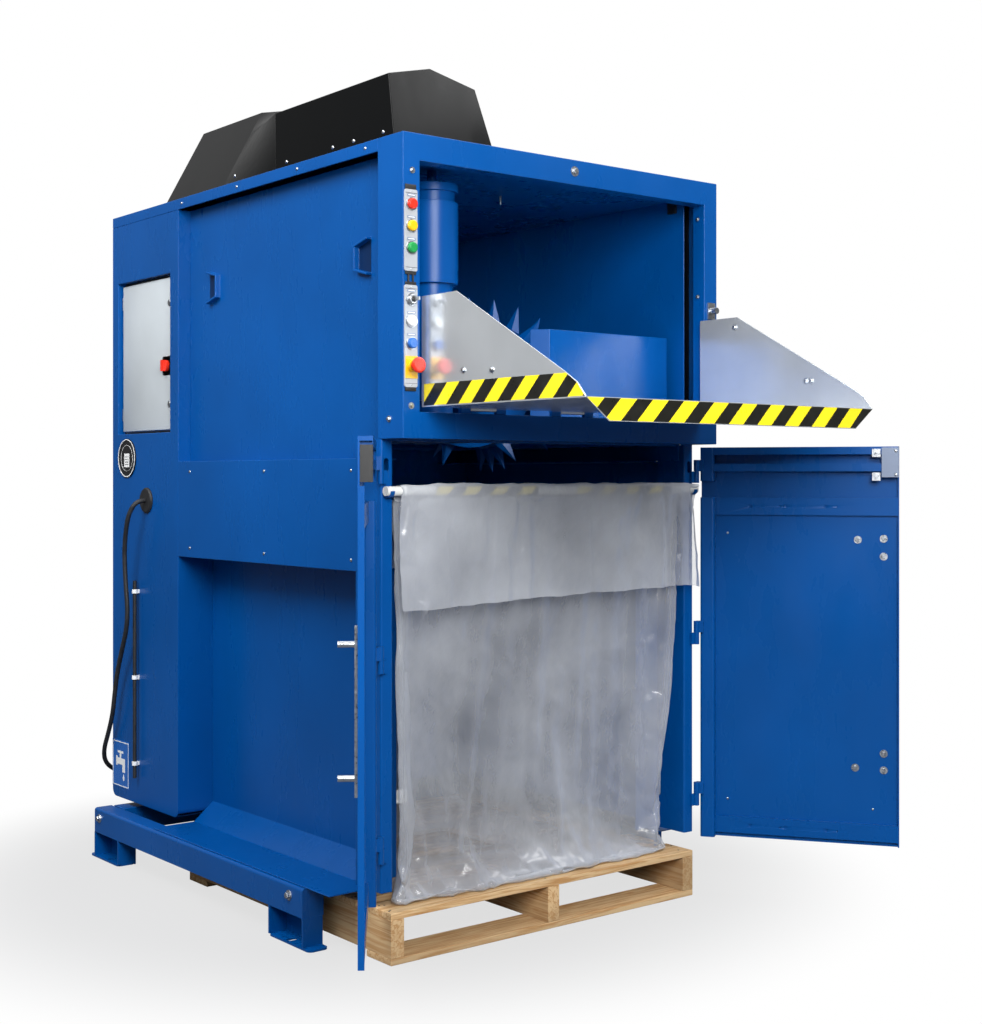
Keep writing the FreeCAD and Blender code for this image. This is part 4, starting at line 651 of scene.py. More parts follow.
class CompactorFlapTape(bpy.types.Operator):
    """Stick hazard tape along the wings and the lip of the loading flap"""
    bl_idname = "compactor.flap_tape"
    bl_label = "Flap tape"

    def execute(self, context):
        tape = hazard_tape("Hazard tape", context.scene.compactor_tape)
        top = FLAP_BASE + 62.0

        def wing(x, facing):
            def build(shape):
                outline = [(x, FLAP_PIVOT - 12.0, FLAP_BASE + 4.0), (x, FLAP_PIVOT - 12.0, top),
                           (x, FLAP_TIP + 70.0, top), (x, FLAP_TIP + 28.0, FLAP_BASE + 36.0),
                           (x, FLAP_TIP + 4.0, FLAP_BASE + 7.0), (x, FLAP_TIP + 4.0, FLAP_BASE + 4.0)]
                strip(shape, outline, 0.4, facing, (0.0, -1.0, 0.0), (0.0, 0.0, 1.0))
            return build

        def lip(shape):
            y = FLAP_TIP - 3.0
            outline = [(FLAP_LEFT + 3.0, y, FLAP_BASE + 1.0), (FLAP_RIGHT - 3.0, y, FLAP_BASE + 1.0),
                       (FLAP_RIGHT - 77.0, y, FLAP_BASE - 53.0), (FLAP_LEFT + 77.0, y, FLAP_BASE - 53.0)]
            strip(shape, outline, 0.4, FORWARD, (1.0, 0.0, 0.0), (0.0, 0.0, 1.0))

        piece_from("left_wing_tape", wing(FLAP_LEFT, LEFTWARD), tape, "loading_flap")
        piece_from("right_wing_tape", wing(FLAP_RIGHT, RIGHTWARD), tape, "loading_flap")
        piece_from("lip_tape", lip, tape, "loading_flap")
        return {"FINISHED"}


class CompactorBarTape(bpy.types.Operator):
    """Wrap hazard tape round the two gripping lengths of the bag bar"""
    bl_idname = "compactor.bar_tape"
    bl_label = "Bar tape"

    def execute(self, context):
        settings = context.scene.compactor_tape
        tape = hazard_tape("Bar tape", settings)

        def build(shape):
            layer = shape.loops.layers.uv.verify()
            for start, end in ((168.0, 538.0), (691.0, 1086.0)):
                rings = []
                for x in (start, end):
                    ring = []
                    for i in range(33):
                        a = 2 * math.pi * i / 32
                        ring.append(shape.verts.new(at(x, 88.0 + 13.75 * math.cos(a), 1290.0 + 13.75 * math.sin(a))))
                    rings.append(ring)
                for i in range(32):
                    face = shape.faces.new((rings[0][i], rings[0][i + 1], rings[1][i + 1], rings[1][i]))
                    for loop, (x, step) in zip(face.loops, ((start, i), (start, i + 1), (end, i + 1), (end, i))):
                        loop[layer].uv = ((x - start) * MM * 1.07, (16 - step) * 0.0027)

        piece_from("bar_tape", build, tape, HOUSING, math.radians(40))
        return {"FINISHED"}


class CompactorFastenersSet(bpy.types.Operator):
    """Set the bolts and screws of the housing, the doors and the flap"""
    bl_idname = "compactor.fasteners"
    bl_label = "Fasteners"

    def execute(self, context):
        zinc, blue, dark = finish_of("zinc_steel"), finish_of("blue_paint"), finish_of("black_plastic")
        front = [(612.0, 0.0, 2220.0, FORWARD)]
        fastened("lintel_bolt", "bolt", front, zinc, HOUSING, across=15, height=7, washer_radius=15)
        small = [(30.5, 0.0, 2152.0, FORWARD), (27.0, 0.0, 1520.0, FORWARD), (0.0, 64.0, 1486.0, LEFTWARD),
                 (1183.0, 0.0, 1520.0, FORWARD), (1210.0, 64.0, 1486.0, RIGHTWARD)]
        fastened("surround_bolts", "bolt", small, zinc, HOUSING, across=10, height=5, washer_radius=9)
        belt = [(x, y, z, facing) for x, facing in ((0.0, LEFTWARD), (1210.0, RIGHTWARD))
                for y in (1212.0, 732.0, 251.0) for z in (1347.0, 1096.0)]
        fastened("belt_screws", "screw", belt, zinc, HOUSING, head_radius=5, height=3)
        roof = [(x, y, 2236.0, facing) for x, facing in ((0.0, LEFTWARD), (1210.0, RIGHTWARD))
                for y in (1270.0, 900.0, 540.0, 180.0)]
        fastened("roof_screws", "screw", roof, zinc, HOUSING, head_radius=5, height=3)
        hood = [(60.0, y, 2290.0, LEFTWARD) for y in (180.0, 330.0, 440.0, 700.0)]
        hood += [(60.0, 1020.0, 2296.0, LEFTWARD), (417.0, 440.0, 2290.0, RIGHTWARD), (417.0, 180.0, 2290.0, RIGHTWARD)]
        fastened("hood_screws", "screw", hood, zinc, HOUSING, head_radius=6, height=3)
        inner = [(1154.0, 28.0, z, LEFTWARD) for z in (2140.0, 1896.0)] + [(56.0, 28.0, z, RIGHTWARD) for z in (2140.0, 1896.0)]
        fastened("stile_bolts", "bolt", inner, zinc, HOUSING, across=8, height=4, washer_radius=7)
        fastened("ceiling_stud", "screw", [(667.0, 414.0, 2213.5, DOWNWARD)], zinc, HOUSING, head_radius=4.5, height=28)
        rear = [(x, 1800.0, z, BACKWARD) for x in (40.0, 605.0, 1170.0) for z in (300.0, 760.0, 1240.0, 1700.0, 2150.0)]
        fastened("rear_screws", "screw", rear, zinc, HOUSING, head_radius=5, height=3)
        sill = [(133.0, 1039.0, 300.0), (133.0, 858.0, 300.0), (133.0, 600.0, 300.0), (133.0, 1046.0, 713.0)]
        fastened("wall_rivets", "screw", [place + (LEFTWARD,) for place in sill], blue, HOUSING, head_radius=5, height=2)
        pads = ((715.0, 1132.0), (636.0, 1136.0), (636.0, 1080.0), (636.0, 464.0), (723.0, 416.0), (636.0, 412.0))
        doors = [swung((x, 52.0, z), BACKWARD, 1) for x, z in pads]
        fastened("right_door_bolts", "bolt", doors, zinc, "right_door", across=11, height=5, washer_radius=12.5)
        dots = [swung((x, 52.0, z), BACKWARD, 1) for x, z in ((1123.0, 296.0), (669.0, 288.0), (1123.0, 1150.0))]
        fastened("right_door_studs", "screw", dots, zinc, "right_door", head_radius=4, height=2)
        left = [swung((1204.0 - x, 52.0, z), BACKWARD, -1) for x, z in pads]
        pad_bolts = [swung((657.0, 89.0, z), BACKWARD, 1) for z in (1404.0, 1330.0)]
        fastened("striker_pad_bolts", "bolt", pad_bolts, zinc, "right_door", across=9, height=4, washer_radius=9)
        plate_screws = [swung((598.0, 87.2, z), BACKWARD, 1) for z in (1410.0, 1336.0)]
        fastened("striker_screws", "screw", plate_screws, zinc, "right_door", head_radius=5, height=2)

        def pads_of(shape):
            for z in (1404.0, 1330.0):
                block(shape, (644.0, 84.0, z - 13.0), (670.0, 89.0, z + 13.0), 0.8)
            turn_on_hinge(shape, 1)
        piece_from("striker_pads", pads_of, zinc, "right_door")
        fastened("left_door_bolts", "bolt", left, blue, "left_door", across=11, height=5, washer_radius=12.5)
        flap = [(FLAP_LEFT, -180.0, FLAP_BASE + 90.0, LEFTWARD), (FLAP_LEFT, -300.0, FLAP_BASE + 84.0, LEFTWARD)]
        flap += [(FLAP_RIGHT - 3.0, -140.0, FLAP_BASE + 270.0, LEFTWARD), (FLAP_RIGHT - 3.0, -420.0, FLAP_BASE + 92.0, LEFTWARD),
                 (FLAP_RIGHT - 3.0, -440.0, FLAP_BASE + 92.0, LEFTWARD)]
        fastened("flap_bolts", "bolt", flap, zinc, "loading_flap", across=10, height=4, washer_radius=8)
        rails = [(-100.0, y, 140.0, LEFTWARD) for y in (420.0, 1690.0)]
        rails += [(1310.0, y, 140.0, RIGHTWARD) for y in (420.0, 1690.0)]
        fastened("rail_bolts", "bolt", rails, zinc, HOUSING, across=17, height=9, washer_radius=15)
        box = [(23.5, -6.0, z, FORWARD) for z in (2093.0, 1886.0, 1837.0, 1575.0)]
        fastened("control_box_screws", "screw", box, zinc, HOUSING, head_radius=2.6, height=1.2)
        switch = [(28.0 - 14.0, 1354.0 + 50.0 + dy, 1480.0 + 226.0 + dz, LEFTWARD) for dy in (-27, 27) for dz in (-27, 27)]
        fastened("main_switch_screws", "screw", switch, dark, HOUSING, head_radius=3, height=1)
        return {"FINISHED"}


class CompactorPalletNails(bpy.types.Operator):
    """Drive two nails through every board where it crosses a stringer"""
    bl_idname = "compactor.pallet_nails"
    bl_label = "Pallet nails"

    def execute(self, context):
        chance = random.Random(7)
        places = []
        for board in range(7):
            for stringer in range(3):
                for side in (-1, 1):
                    x = 12.5 + 22.0 + stringer * 560.5 + side * 11.0 + chance.uniform(-4.0, 4.0)
                    y = 73.0 + 59.0 + board * (1165.0 - 118.0) / 6 + side * 30.0 + chance.uniform(-8.0, 8.0)
                    places.append((x, y, 143.0, UPWARD))
        for board in range(7):
            for side in (-1, 1):
                y = 73.0 + 59.0 + board * (1165.0 - 118.0) / 6 + side * 28.0
                places.append((12.5 + 22.0 + chance.uniform(-5.0, 5.0), y, 143.0, UPWARD))
        fastened("pallet_nails", "screw", places, finish_of("black_plastic"), HOUSING, head_radius=3.4, height=0.8)
        return {"FINISHED"}


class CompactorControls(bpy.types.Operator):
    """Add the bezels and bare legend plates of the two control boxes"""
    bl_idname = "compactor.controls"
    bl_label = "Control boxes"

    def execute(self, context):
        steel, black, white = finish_of("zinc_steel"), finish_of("black_plastic"), finish_of("white_plastic")
        levels = [2099.0 - 39.0 - 58.7 * i for i in range(3)] + [1843.0 - 39.0 - 58.7 * i for i in range(3)]

        def bezels(shape):
            for z in levels:
                turned_disc(shape, (23.5, -6.0, z), FORWARD, [(18.0, 0.0), (18.0, 2.5), (16.8, 4.0), (15.2, 4.0), (14.9, 2.0)])
        piece_from("button_bezels", bezels, steel, HOUSING, math.radians(35))

        def legends(shape):
            for z in levels:
                block(shape, (10.0, -7.0, z + 20.0), (37.0, -6.0, z + 27.0), 0.4)
        piece_from("legend_plates", legends, finish_of("striker_grey"), HOUSING)

        def marks(shape):
            for z in levels:
                block(shape, (13.0, -7.3, z + 22.4), (34.0, -7.0, z + 24.6))
        piece_from("legend_marks", marks, white, HOUSING)

        def seams(shape):
            for low, high in ((1880.0, 2099.0), (1569.0, 1843.0)):
                block(shape, (4.2, -6.6, high - 10.5), (42.8, -6.0, high - 9.5))
                block(shape, (4.2, -6.6, low + 9.5), (42.8, -6.0, low + 10.5))
        piece_from("control_box_seams", seams, black, HOUSING)

        def ends(shape):
            for low, high in ((2099.0, 2113.0), (1871.0, 1880.0), (1843.0, 1852.0), (1559.0, 1569.0)):
                block(shape, (6.0, -4.5, low), (41.0, 0.0, high), 1.0)
            for x in (16.0, 31.0):
                turned_disc(shape, (x, -3.0, 1852.0), UPWARD, [(2.8, 0.0), (2.8, 19.0)], 14)
        piece_from("control_box_ends", ends, finish_of("rubber"), HOUSING, math.radians(35))

        def key(shape):
            turned_disc(shape, (23.5, -19.0, levels[3]), FORWARD, [(8.0, 0.0), (8.0, 2.0), (6.5, 3.0), (0.0, 3.0)])
        piece_from("key_barrel", key, black, HOUSING, math.radians(35))

        def slit(shape):
            block(shape, (22.6, -23.0, levels[3] - 4.5), (24.4, -22.0, levels[3] + 4.5), 0.3)
            block(shape, (22.3, -45.0, levels[3] - 5.0), (24.7, -23.0, levels[3] + 5.0), 0.6)
        piece_from("key_blade", slit, steel, HOUSING)
        return {"FINISHED"}


class CompactorEnclosure(bpy.types.Operator):
    """Add the door of the switch cabinet with its hinges and locks, and black strips of painted shade round the door
    gap
    """
    bl_idname = "compactor.enclosure"
    bl_label = "Switch cabinet"

    def execute(self, context):
        black, grey, steel = finish_of("black_plastic"), finish_of("grey_enclosure"), finish_of("zinc_steel")
        y0, y1, z0, z1, face = 1354.0, 1754.0, 1480.0, 2014.0, 28.0

        # Black strips round the door: painted shade of the gap between the door and the cabinet
        def gap_shade(shape):
            for low, high in (((face - 1.5, y0 + 1, z0 + 1), (face, y0 + 7, z1 - 1)), ((face - 1.5, y1 - 7, z0 + 1), (face, y1 - 1, z1 - 1)),
                              ((face - 1.5, y0 + 7, z0 + 1), (face, y1 - 7, z0 + 7)), ((face - 1.5, y0 + 7, z1 - 7), (face, y1 - 7, z1 - 1))):
                block(shape, low, high, 0.5)
        piece_from("enclosure_seal", gap_shade, black, HOUSING)

        def door(shape):
            block(shape, (face - 14.0, y0 + 10.0, z0 + 10.0), (face - 1.0, y1 - 10.0, z1 - 10.0), 3.0)
        piece_from("enclosure_door", door, grey, HOUSING, math.radians(35))

        def hinges(shape):
            for z in (z0 + 70.0, z1 - 70.0):
                turned_disc(shape, (face - 10.0, y1 - 7.0, z - 22.0), UPWARD, [(0.0, 0.0), (4.5, 0.0), (4.5, 44.0), (0.0, 44.0)], 20)
        piece_from("enclosure_hinges", hinges, steel, HOUSING, math.radians(35))

        def locks(shape):
            for z in (z0 + 96.0, z1 - 96.0):
                turned_disc(shape, (face - 14.0, y0 + 30.0, z), LEFTWARD, [(11.0, 0.0), (11.0, 2.0), (9.0, 3.5), (0.0, 3.5)], 28)
        piece_from("enclosure_locks", locks, steel, HOUSING, math.radians(35))
        return {"FINISHED"}


class CompactorLinings(bpy.types.Operator):
    """Close the pockets behind the surround and above the chamber wall with sheet, the black returns and dark grip
    plates being painted shade
    """
    bl_idname = "compactor.linings"
    bl_label = "Chamber linings"

    def execute(self, context):
        blue, black = finish_of("blue_paint"), finish_of("black_sheet")

        def ceiling(shape):
            block(shape, (49.5, 121.0, 2213.5), (1160.5, 1295.5, 2217.5), 0.5)
        piece_from("chamber_ceiling", ceiling, blue, HOUSING)

        # Returns in the black hood coat, not the housing blue: painted shade on the pocket walls seen through the stile
        # gaps
        def returns(shape):
            for low, high in ((4.5, 48.5), (1161.5, 1205.5)):
                block(shape, (low, 116.0, 1436.5), (high, 119.5, 2213.0), 0.5)
        piece_from("surround_returns", returns, black, HOUSING)

        def sensor(shape):
            block(shape, (1147.0, 123.0, 2172.0), (1160.0, 158.0, 2208.0), 2.0)
        piece_from("corner_sensor", sensor, finish_of("black_plastic"), HOUSING)

        # Flat plates in the dark blue coat, barely off the wall: painted shade of the grip recesses
        def pockets(shape):
            for x in (44.4, 1165.6):
                for y, reach in ((217.0, 60.0), (1156.0, -60.0)):
                    z = 1947.0
                    outline = [(y, z + 46.0), (y + reach, z + 31.0), (y + reach, z - 31.0), (y, z - 46.0)]
                    near = [shape.verts.new(at(x, a, b)) for a, b in outline]
                    deep = [shape.verts.new(at(x + (0.6 if x < 600.0 else -0.6), a, b)) for a, b in outline]
                    shape.faces.new(near)
                    shape.faces.new(deep[::-1])
                    for i in range(4):
                        j = (i + 1) % 4
                        shape.faces.new((near[i], deep[i], deep[j], near[j]))
        piece_from("grip_pockets", pockets, finish_of("pocket_blue"), HOUSING)
        return {"FINISHED"}


class CompactorSidePieces(bpy.types.Operator):
    """Add the rim rings, label and lines of the round plate, and the tap plate with its mark"""
    bl_idname = "compactor.side_pieces"
    bl_label = "Side pieces"

    def execute(self, context):
        steel, white, blue = finish_of("zinc_steel"), finish_of("white_plastic"), finish_of("blue_plastic")

        def rim(shape):
            turned_disc(shape, (-5.0, 1677.0, 1396.0), LEFTWARD, [(66.5, 0.0), (66.5, 0.8), (63.5, 0.8), (63.5, 0.0)], 72)
            turned_disc(shape, (-3.5, 1677.0, 1396.0), LEFTWARD, [(46.0, 0.0), (46.0, 0.6), (45.0, 0.6), (45.0, 0.0)], 72)
        piece_from("round_plate_rings", rim, white, HOUSING, math.radians(35))

        def label(shape):
            block(shape, (-4.4, 1657.0, 1364.0), (-3.5, 1697.0, 1412.0), 0.3)
        piece_from("round_plate_label", label, white, HOUSING)

        def lines(shape):
            for i in range(4):
                block(shape, (-4.7, 1662.0, 1372.0 + 9.0 * i), (-4.4, 1692.0, 1374.5 + 9.0 * i))
        piece_from("round_plate_lines", lines, steel, HOUSING)

        def sign(shape):
            block(shape, (-1.2, 1665.0, 230.0), (0.0, 1812.0 - 14.0, 396.0), 0.4)
        piece_from("tap_sign", sign, blue, HOUSING)

        def tap(shape):
            y, z, x0, x1 = 1731.0, 313.0, -1.7, -1.2
            for low, high in (((x0, 1669.0, 234.0), (x1, 1672.0, 392.0)), ((x0, 1791.0, 234.0), (x1, 1794.0, 392.0)),
                              ((x0, 1672.0, 234.0), (x1, 1791.0, 237.0)), ((x0, 1672.0, 389.0), (x1, 1791.0, 392.0)),
                              ((x0, y - 34.0, z - 2.0), (x1, y + 26.0, z + 20.0)), ((x0, y - 34.0, z - 28.0), (x1, y - 14.0, z - 2.0)),
                              ((x0, y - 4.0, z + 20.0), (x1, y + 8.0, z + 38.0)), ((x0, y - 20.0, z + 38.0), (x1, y + 24.0, z + 46.0)),
                              ((x0, y + 26.0, z - 8.0), (x1, y + 36.0, z + 26.0))):
                block(shape, low, high)
            drop = [(y - 24.0, z - 34.0), (y - 31.0, z - 48.0), (y - 29.0, z - 55.0), (y - 24.0, z - 58.0),
                    (y - 19.0, z - 55.0), (y - 17.0, z - 48.0)]
            outer = [shape.verts.new(at(x0, a, b)) for a, b in drop]
            inner = [shape.verts.new(at(x1, a, b)) for a, b in drop]
            shape.faces.new(outer)
            shape.faces.new(inner[::-1])
            for i in range(len(drop)):
                j = (i + 1) % len(drop)
                shape.faces.new((outer[i], inner[i], inner[j], outer[j]))
        piece_from("tap_mark", tap, white, HOUSING)
        return {"FINISHED"}


CABLE_POINTS = ((-38.0, 0.0, 0.0), (-60.0, 0.069, 0.045), (-58.0, 0.172, 0.125), (-52.0, 0.233, 0.2),
                (-48.0, 0.227, 0.29), (-46.0, 0.192, 0.372), (-44.0, 0.227, 0.44), (-38.0, 0.384, 0.511),
                (-32.0, 0.57, 0.599), (-30.0, 0.666, 0.683), (-28.0, 0.735, 0.757), (-26.0, 0.872, 0.829),
                (-22.0, 1.037, 0.895), (2.0, 1.181, 0.949), (48.0, 1.243, 0.985), (104.0, 1.243, 1.0),
                (130.0, 1.153, 1.0))


class CompactorCable(bpy.types.Operator):
    """Hang the power cable from its grommet to the gland at the back"""
    bl_idname = "compactor.cable"
    bl_label = "Power cable"

    def execute(self, context):
        start, end = Vector((-9.3, 1525.0, 1249.0)), Vector((130.0, 1816.3, 248.0))
        points = [start]
        for out, along, drop in CABLE_POINTS:
            points.append(Vector((out, start.y + (end.y - start.y) * along, start.z - (start.z - end.z) * drop)))
        points.append(end)
        curve = bpy.data.curves.new("cable", "CURVE")
        curve.dimensions = "3D"
        curve.bevel_depth = 8.0 * MM
        curve.bevel_resolution = 5
        curve.resolution_u = 6
        curve.use_fill_caps = True
        line = curve.splines.new("NURBS")
        line.points.add(len(points) - 1)
        for slot, point in zip(line.points, points):
            slot.co = (*at(*point), 1.0)
        line.order_u = 3
        line.use_endpoint_u = True
        curve.materials.append(finish_of("rubber"))
        cable = bpy.data.objects.new("cable", curve)
        context.scene.collection.objects.link(cable)
        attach(cable, HOUSING)
        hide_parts("power_cable")
        return {"FINISHED"}


BAG_TOP, BAG_FLOOR = 1262.0, 145.5


def bag_ring(level):
    """Outline of the bag at a height share from the pallet to the rim, as points."""
    half = 540.0 - 46.0 * (1.0 - level) ** 3
    left = 548.0 - 8.0 * (1.0 - level) ** 3
    waist = 448.0
    y0 = 101.8 - 12.0 * math.sin(math.pi * min(1.0, level * 1.1)) + 2.0 * (1.0 - level)
    y1 = 1176.0
    corners = [(-left, y0 + 22.0), (9.0 - left, y0 + 6.0), (30.0 - left, y0), (half - 30.0, y0), (half - 9.0, y0 + 6.0),
               (half, y0 + 22.0), (half - 6.0, 150.0), (waist, 236.0), (waist, y1 - 60.0), (waist - 60.0, y1),
               (60.0 - waist, y1), (-waist, y1 - 60.0), (-waist, 236.0), (6.0 - left, 150.0)]
    counts = (2, 2, 74, 2, 2, 8, 8, 34, 4, 30, 4, 34, 8, 8)
    ring = []
    for (x0, a), (x1, b), count in zip(corners, corners[1:] + corners[:1], counts):
        for i in range(count):
            t = i / count
            ring.append((605.0 + x0 + (x1 - x0) * t, a + (b - a) * t))
    return ring


def bag_grid(shape, rows):
    """Tube of the bag from its rim down to the pallet, closed there by rings that run inwards."""
    rings = []
    for row in range(rows + 1):
        level = 1.0 - row / rows
        z = BAG_FLOOR + (BAG_TOP - BAG_FLOOR) * level
        rings.append([shape.verts.new(at(x, y, z)) for x, y in bag_ring(level)])
    for share in (0.94, 0.8, 0.55, 0.25):
        base = bag_ring(0.0)
        rings.append([shape.verts.new(at(605.0 + (x - 605.0) * share, 640.0 + (y - 640.0) * share, BAG_FLOOR))
                      for x, y in base])
    for upper, lower in zip(rings, rings[1:]):
        for i in range(len(upper)):
            j = (i + 1) % len(upper)
            shape.faces.new((upper[i], upper[j], lower[j], lower[i]))
    shape.faces.new(rings[-1][::-1])
    return rings


def cuff_grid(shape):
    """Upper end of the film, which comes up behind the bar, over it and down in front."""
    profile = [(103.4, 1262.0), (104.2, 1276.0), (103.4, 1290.0), (101.0, 1299.0), (95.5, 1304.6), (88.0, 1306.0),
               (80.5, 1304.6), (74.6, 1299.5), (72.6, 1290.0)]
    profile += [(72.0 - 0.5 * i, 1276.0 - 14.0 * i) for i in range(23)]
    columns = 106
    rows = []
    for k, (y, z) in enumerate(profile):
        row = []
        hang = max(0.0, (1290.0 - z) / 320.0)
        for i in range(columns + 1):
            t = i / columns
            x = 45.0 + (1214.0 - 45.0) * t + 16.0 * hang * max(0.0, t - 0.8) / 0.2
            lean = 27.0 * hang * (t - 0.35)
            row.append(shape.verts.new(at(x, y, z + lean * (hang > 0.0))))
        rows.append(row)
    for upper, lower in zip(rows, rows[1:]):
        for i in range(columns):
            shape.faces.new((upper[i], upper[i + 1], lower[i + 1], lower[i]))
    return rows


def rumpled(shape, seed, depth):
    """Push every point a little along a fixed noise, so that the film starts to buckle."""
    shift = Vector((seed * 3.7, seed * 1.3, seed * 2.1))
    for vert in shape.verts:
        wide = noise.noise_vector(vert.co * 6.0 + shift) * depth
        fine = noise.noise_vector(vert.co * 22.0 + shift) * depth * 0.35
        vert.co += wide + fine


def walls_about(faces):
    """Plain solid stand-ins that the film rests against while it settles."""
    made = []
    for low, high in faces:
        shape = bmesh.new()
        block(shape, low, high)
        mesh = bpy.data.meshes.new("rest")
        shape.to_mesh(mesh)
        shape.free()
        rest = bpy.data.objects.new("rest", mesh)
        bpy.context.scene.collection.objects.link(rest)
        rest.modifiers.new("Collision", "COLLISION")
        rest.collision.thickness_outer = 0.002
        rest.collision.cloth_friction = 12.0
        made.append(rest)
    return made


def settled(cloth, pins, frames, growth, pressure, stiffness):
    """The film after it has hung for some frames from its pinned points."""
    group = cloth.vertex_groups.new(name="held")
    for weight, indices in pins:
        group.add(indices, weight, "REPLACE")
    modifier = cloth.modifiers.new("Cloth", "CLOTH")
    settings = modifier.settings
    settings.vertex_group_mass = "held"
    settings.quality = 6
    settings.mass = 0.12
    settings.air_damping = 2.0
    settings.tension_stiffness = stiffness
    settings.compression_stiffness = stiffness
    settings.shear_stiffness = stiffness * 0.6
    settings.bending_stiffness = 0.6
    settings.tension_damping = settings.compression_damping = settings.shear_damping = 10.0
    settings.bending_damping = 0.6
    settings.shrink_min = -growth
    settings.use_pressure = pressure > 0.0
    settings.uniform_pressure_force = pressure
    modifier.collision_settings.use_collision = True
    modifier.collision_settings.distance_min = 0.004
    modifier.collision_settings.collision_quality = 3
    scene = bpy.context.scene
    scene.frame_start, scene.frame_end = 1, frames
    modifier.point_cache.frame_start, modifier.point_cache.frame_end = 1, frames
    for frame_number in range(1, frames + 1):
        scene.frame_set(frame_number)
    mesh = bpy.data.meshes.new_from_object(cloth.evaluated_get(bpy.context.evaluated_depsgraph_get()))
    cloth.modifiers.clear()
    cloth.vertex_groups.clear()
    scene.frame_set(1)
    return mesh


def object_from(shape, name):
    """New object in the scene that holds a mesh."""
    mesh = bpy.data.meshes.new(name)
    shape.to_mesh(mesh)
    shape.free()
    made = bpy.data.objects.new(name, mesh)
    bpy.context.scene.collection.objects.link(made)
    return made


def area_of(mesh):
    """Area of a mesh."""
    return sum(face.area for face in mesh.polygons)


class CompactorBag(bpy.types.Operator):
    """Hang the film bag over its bar and let it settle on the pallet"""
    bl_idname = "compactor.bag"
    bl_label = "Film bag"

    def execute(self, context):
        film = finish_of("film")
        shape = bmesh.new()
        rings = bag_grid(shape, 78)
        shape.verts.index_update()
        rim = [vert.index for vert in rings[0]]
        base = [vert.index for ring in rings[-4:] for vert in ring]
        foot = [vert.index for vert in rings[-5]]
        held = set(rim) | set(base) | set(foot)
        shape.verts.ensure_lookup_table()
        before = {index: shape.verts[index].co.copy() for index in held}
        rumpled(shape, 3.0, 9.0 * MM)
        for index, place in before.items():
            shape.verts[index].co = place
        tube = object_from(shape, "bag_film")
        shape = bmesh.new()
        rows = cuff_grid(shape)
        shape.verts.index_update()
        top = [vert.index for row in rows[:7] for vert in row]
        shape.verts.ensure_lookup_table()
        before = {index: shape.verts[index].co.copy() for index in top}
        rumpled(shape, 8.0, 8.0 * MM)
        for index, place in before.items():
            shape.verts[index].co = place
        for vert in shape.verts:
            if vert.index not in before:
                vert.co.y = min(vert.co.y, at(0.0, 74.0, 0.0).y)
        cuff = object_from(shape, "bag_cuff")
        flat_area = area_of(tube.data) + area_of(cuff.data)
        rests = walls_about((((-20.0, 100.0, 150.0), (40.0, 225.0, 1400.0)), ((1170.0, 100.0, 150.0), (1230.0, 225.0, 1400.0)),
                             ((60.0, 226.0, 150.0), (137.0, 1290.0, 1400.0)), ((1073.0, 226.0, 150.0), (1150.0, 1290.0, 1400.0)),
                             ((-100.0, -200.0, 60.0), (1300.0, 1400.0, 143.5)),
                             ((60.0, 74.5, 1276.5), (1150.0, 101.5, 1303.5))))
        mesh = settled(tube, [(1.0, rim), (1.0, base), (0.9, foot)], 36, 0.04, 1.1, 18.0)
        tube.data = mesh
        cuffed = settled(cuff, [(1.0, top)], 30, 0.03, 0.0, 10.0)
        cuff.data = cuffed
        for rest in rests:
            bpy.data.objects.remove(rest)
        print("bag areas", round(flat_area, 3), round(area_of(tube.data) + area_of(cuff.data), 3))
        whole = bmesh.new()
        layers = whole.verts.layers.float.new("layers")
        for sheet in (tube, cuff):
            known = len(whole.verts)
            whole.from_mesh(rounded(sheet))
            whole.verts.ensure_lookup_table()
            for vert in whole.verts[known:]:
                vert[layers] = CUFF_MILK if sheet is cuff else film_layers(vert.co)
        bpy.data.objects.remove(cuff)
        creased(whole, context.scene.compactor_film.creases)
        whole.to_mesh(tube.data)
        whole.free()
        for face in tube.data.polygons:
            face.use_smooth = True
        tube.data.materials.clear()
        tube.data.materials.append(film)
        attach(tube, HOUSING)
        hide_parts("bag")
        return {"FINISHED"}


def rounded(sheet):
    """Mesh of a sheet divided once more, so that its folds run round."""
    modifier = sheet.modifiers.new("Fine", "SUBSURF")
    modifier.levels = modifier.render_levels = 1
    bpy.context.view_layer.update()
    mesh = bpy.data.meshes.new_from_object(sheet.evaluated_get(bpy.context.evaluated_depsgraph_get()))
    sheet.modifiers.clear()
    return mesh


FOLDS = (
    (15.0, 15.0, ((165.0, 975.0), (180.0, 949.0), (264.0, 818.0), (372.0, 664.0), (483.0, 523.0), (587.0, 449.0),
                  (741.0, 374.0))),
    (7.0, 9.0, ((250.0, 802.0), (246.0, 500.0), (232.0, 196.0))),
    (9.0, 12.0, ((500.0, 850.0), (517.0, 817.0), (753.0, 801.0), (877.0, 737.0), (1084.0, 787.0))),
)


def fold_height(x, z):
    """Height in millimetres of the long folds pressed into the front sheet, at a place in millimetres."""
    height = 0.0
    for depth, width, route in FOLDS:
        nearest = 1e9
        for (x0, z0), (x1, z1) in zip(route, route[1:]):
            dx, dz = x1 - x0, z1 - z0
            share = min(1.0, max(0.0, ((x - x0) * dx + (z - z0) * dz) / (dx * dx + dz * dz)))
            nearest = min(nearest, math.hypot(x - x0 - share * dx, z - z0 - share * dz))
        height += depth * math.exp(-(nearest / width) ** 2)
    return height


DOOR_CLEAR = 65.5
CUFF_MILK, REAR_MILK, FOLD_MILK = 0.14, -0.17, 0.45


def film_layers(place):
    """Milkiness that the tube gains where a fold lays it double, and loses at its far side."""
    x, y, z = place.x / MM + 605.0, place.y / MM + 1038.0, place.z / MM
    if y > 230.0:
        return REAR_MILK
    return FOLD_MILK * min(1.0, fold_height(x, z) / 15.0) if y < 140.0 and z < 985.0 else 0.0


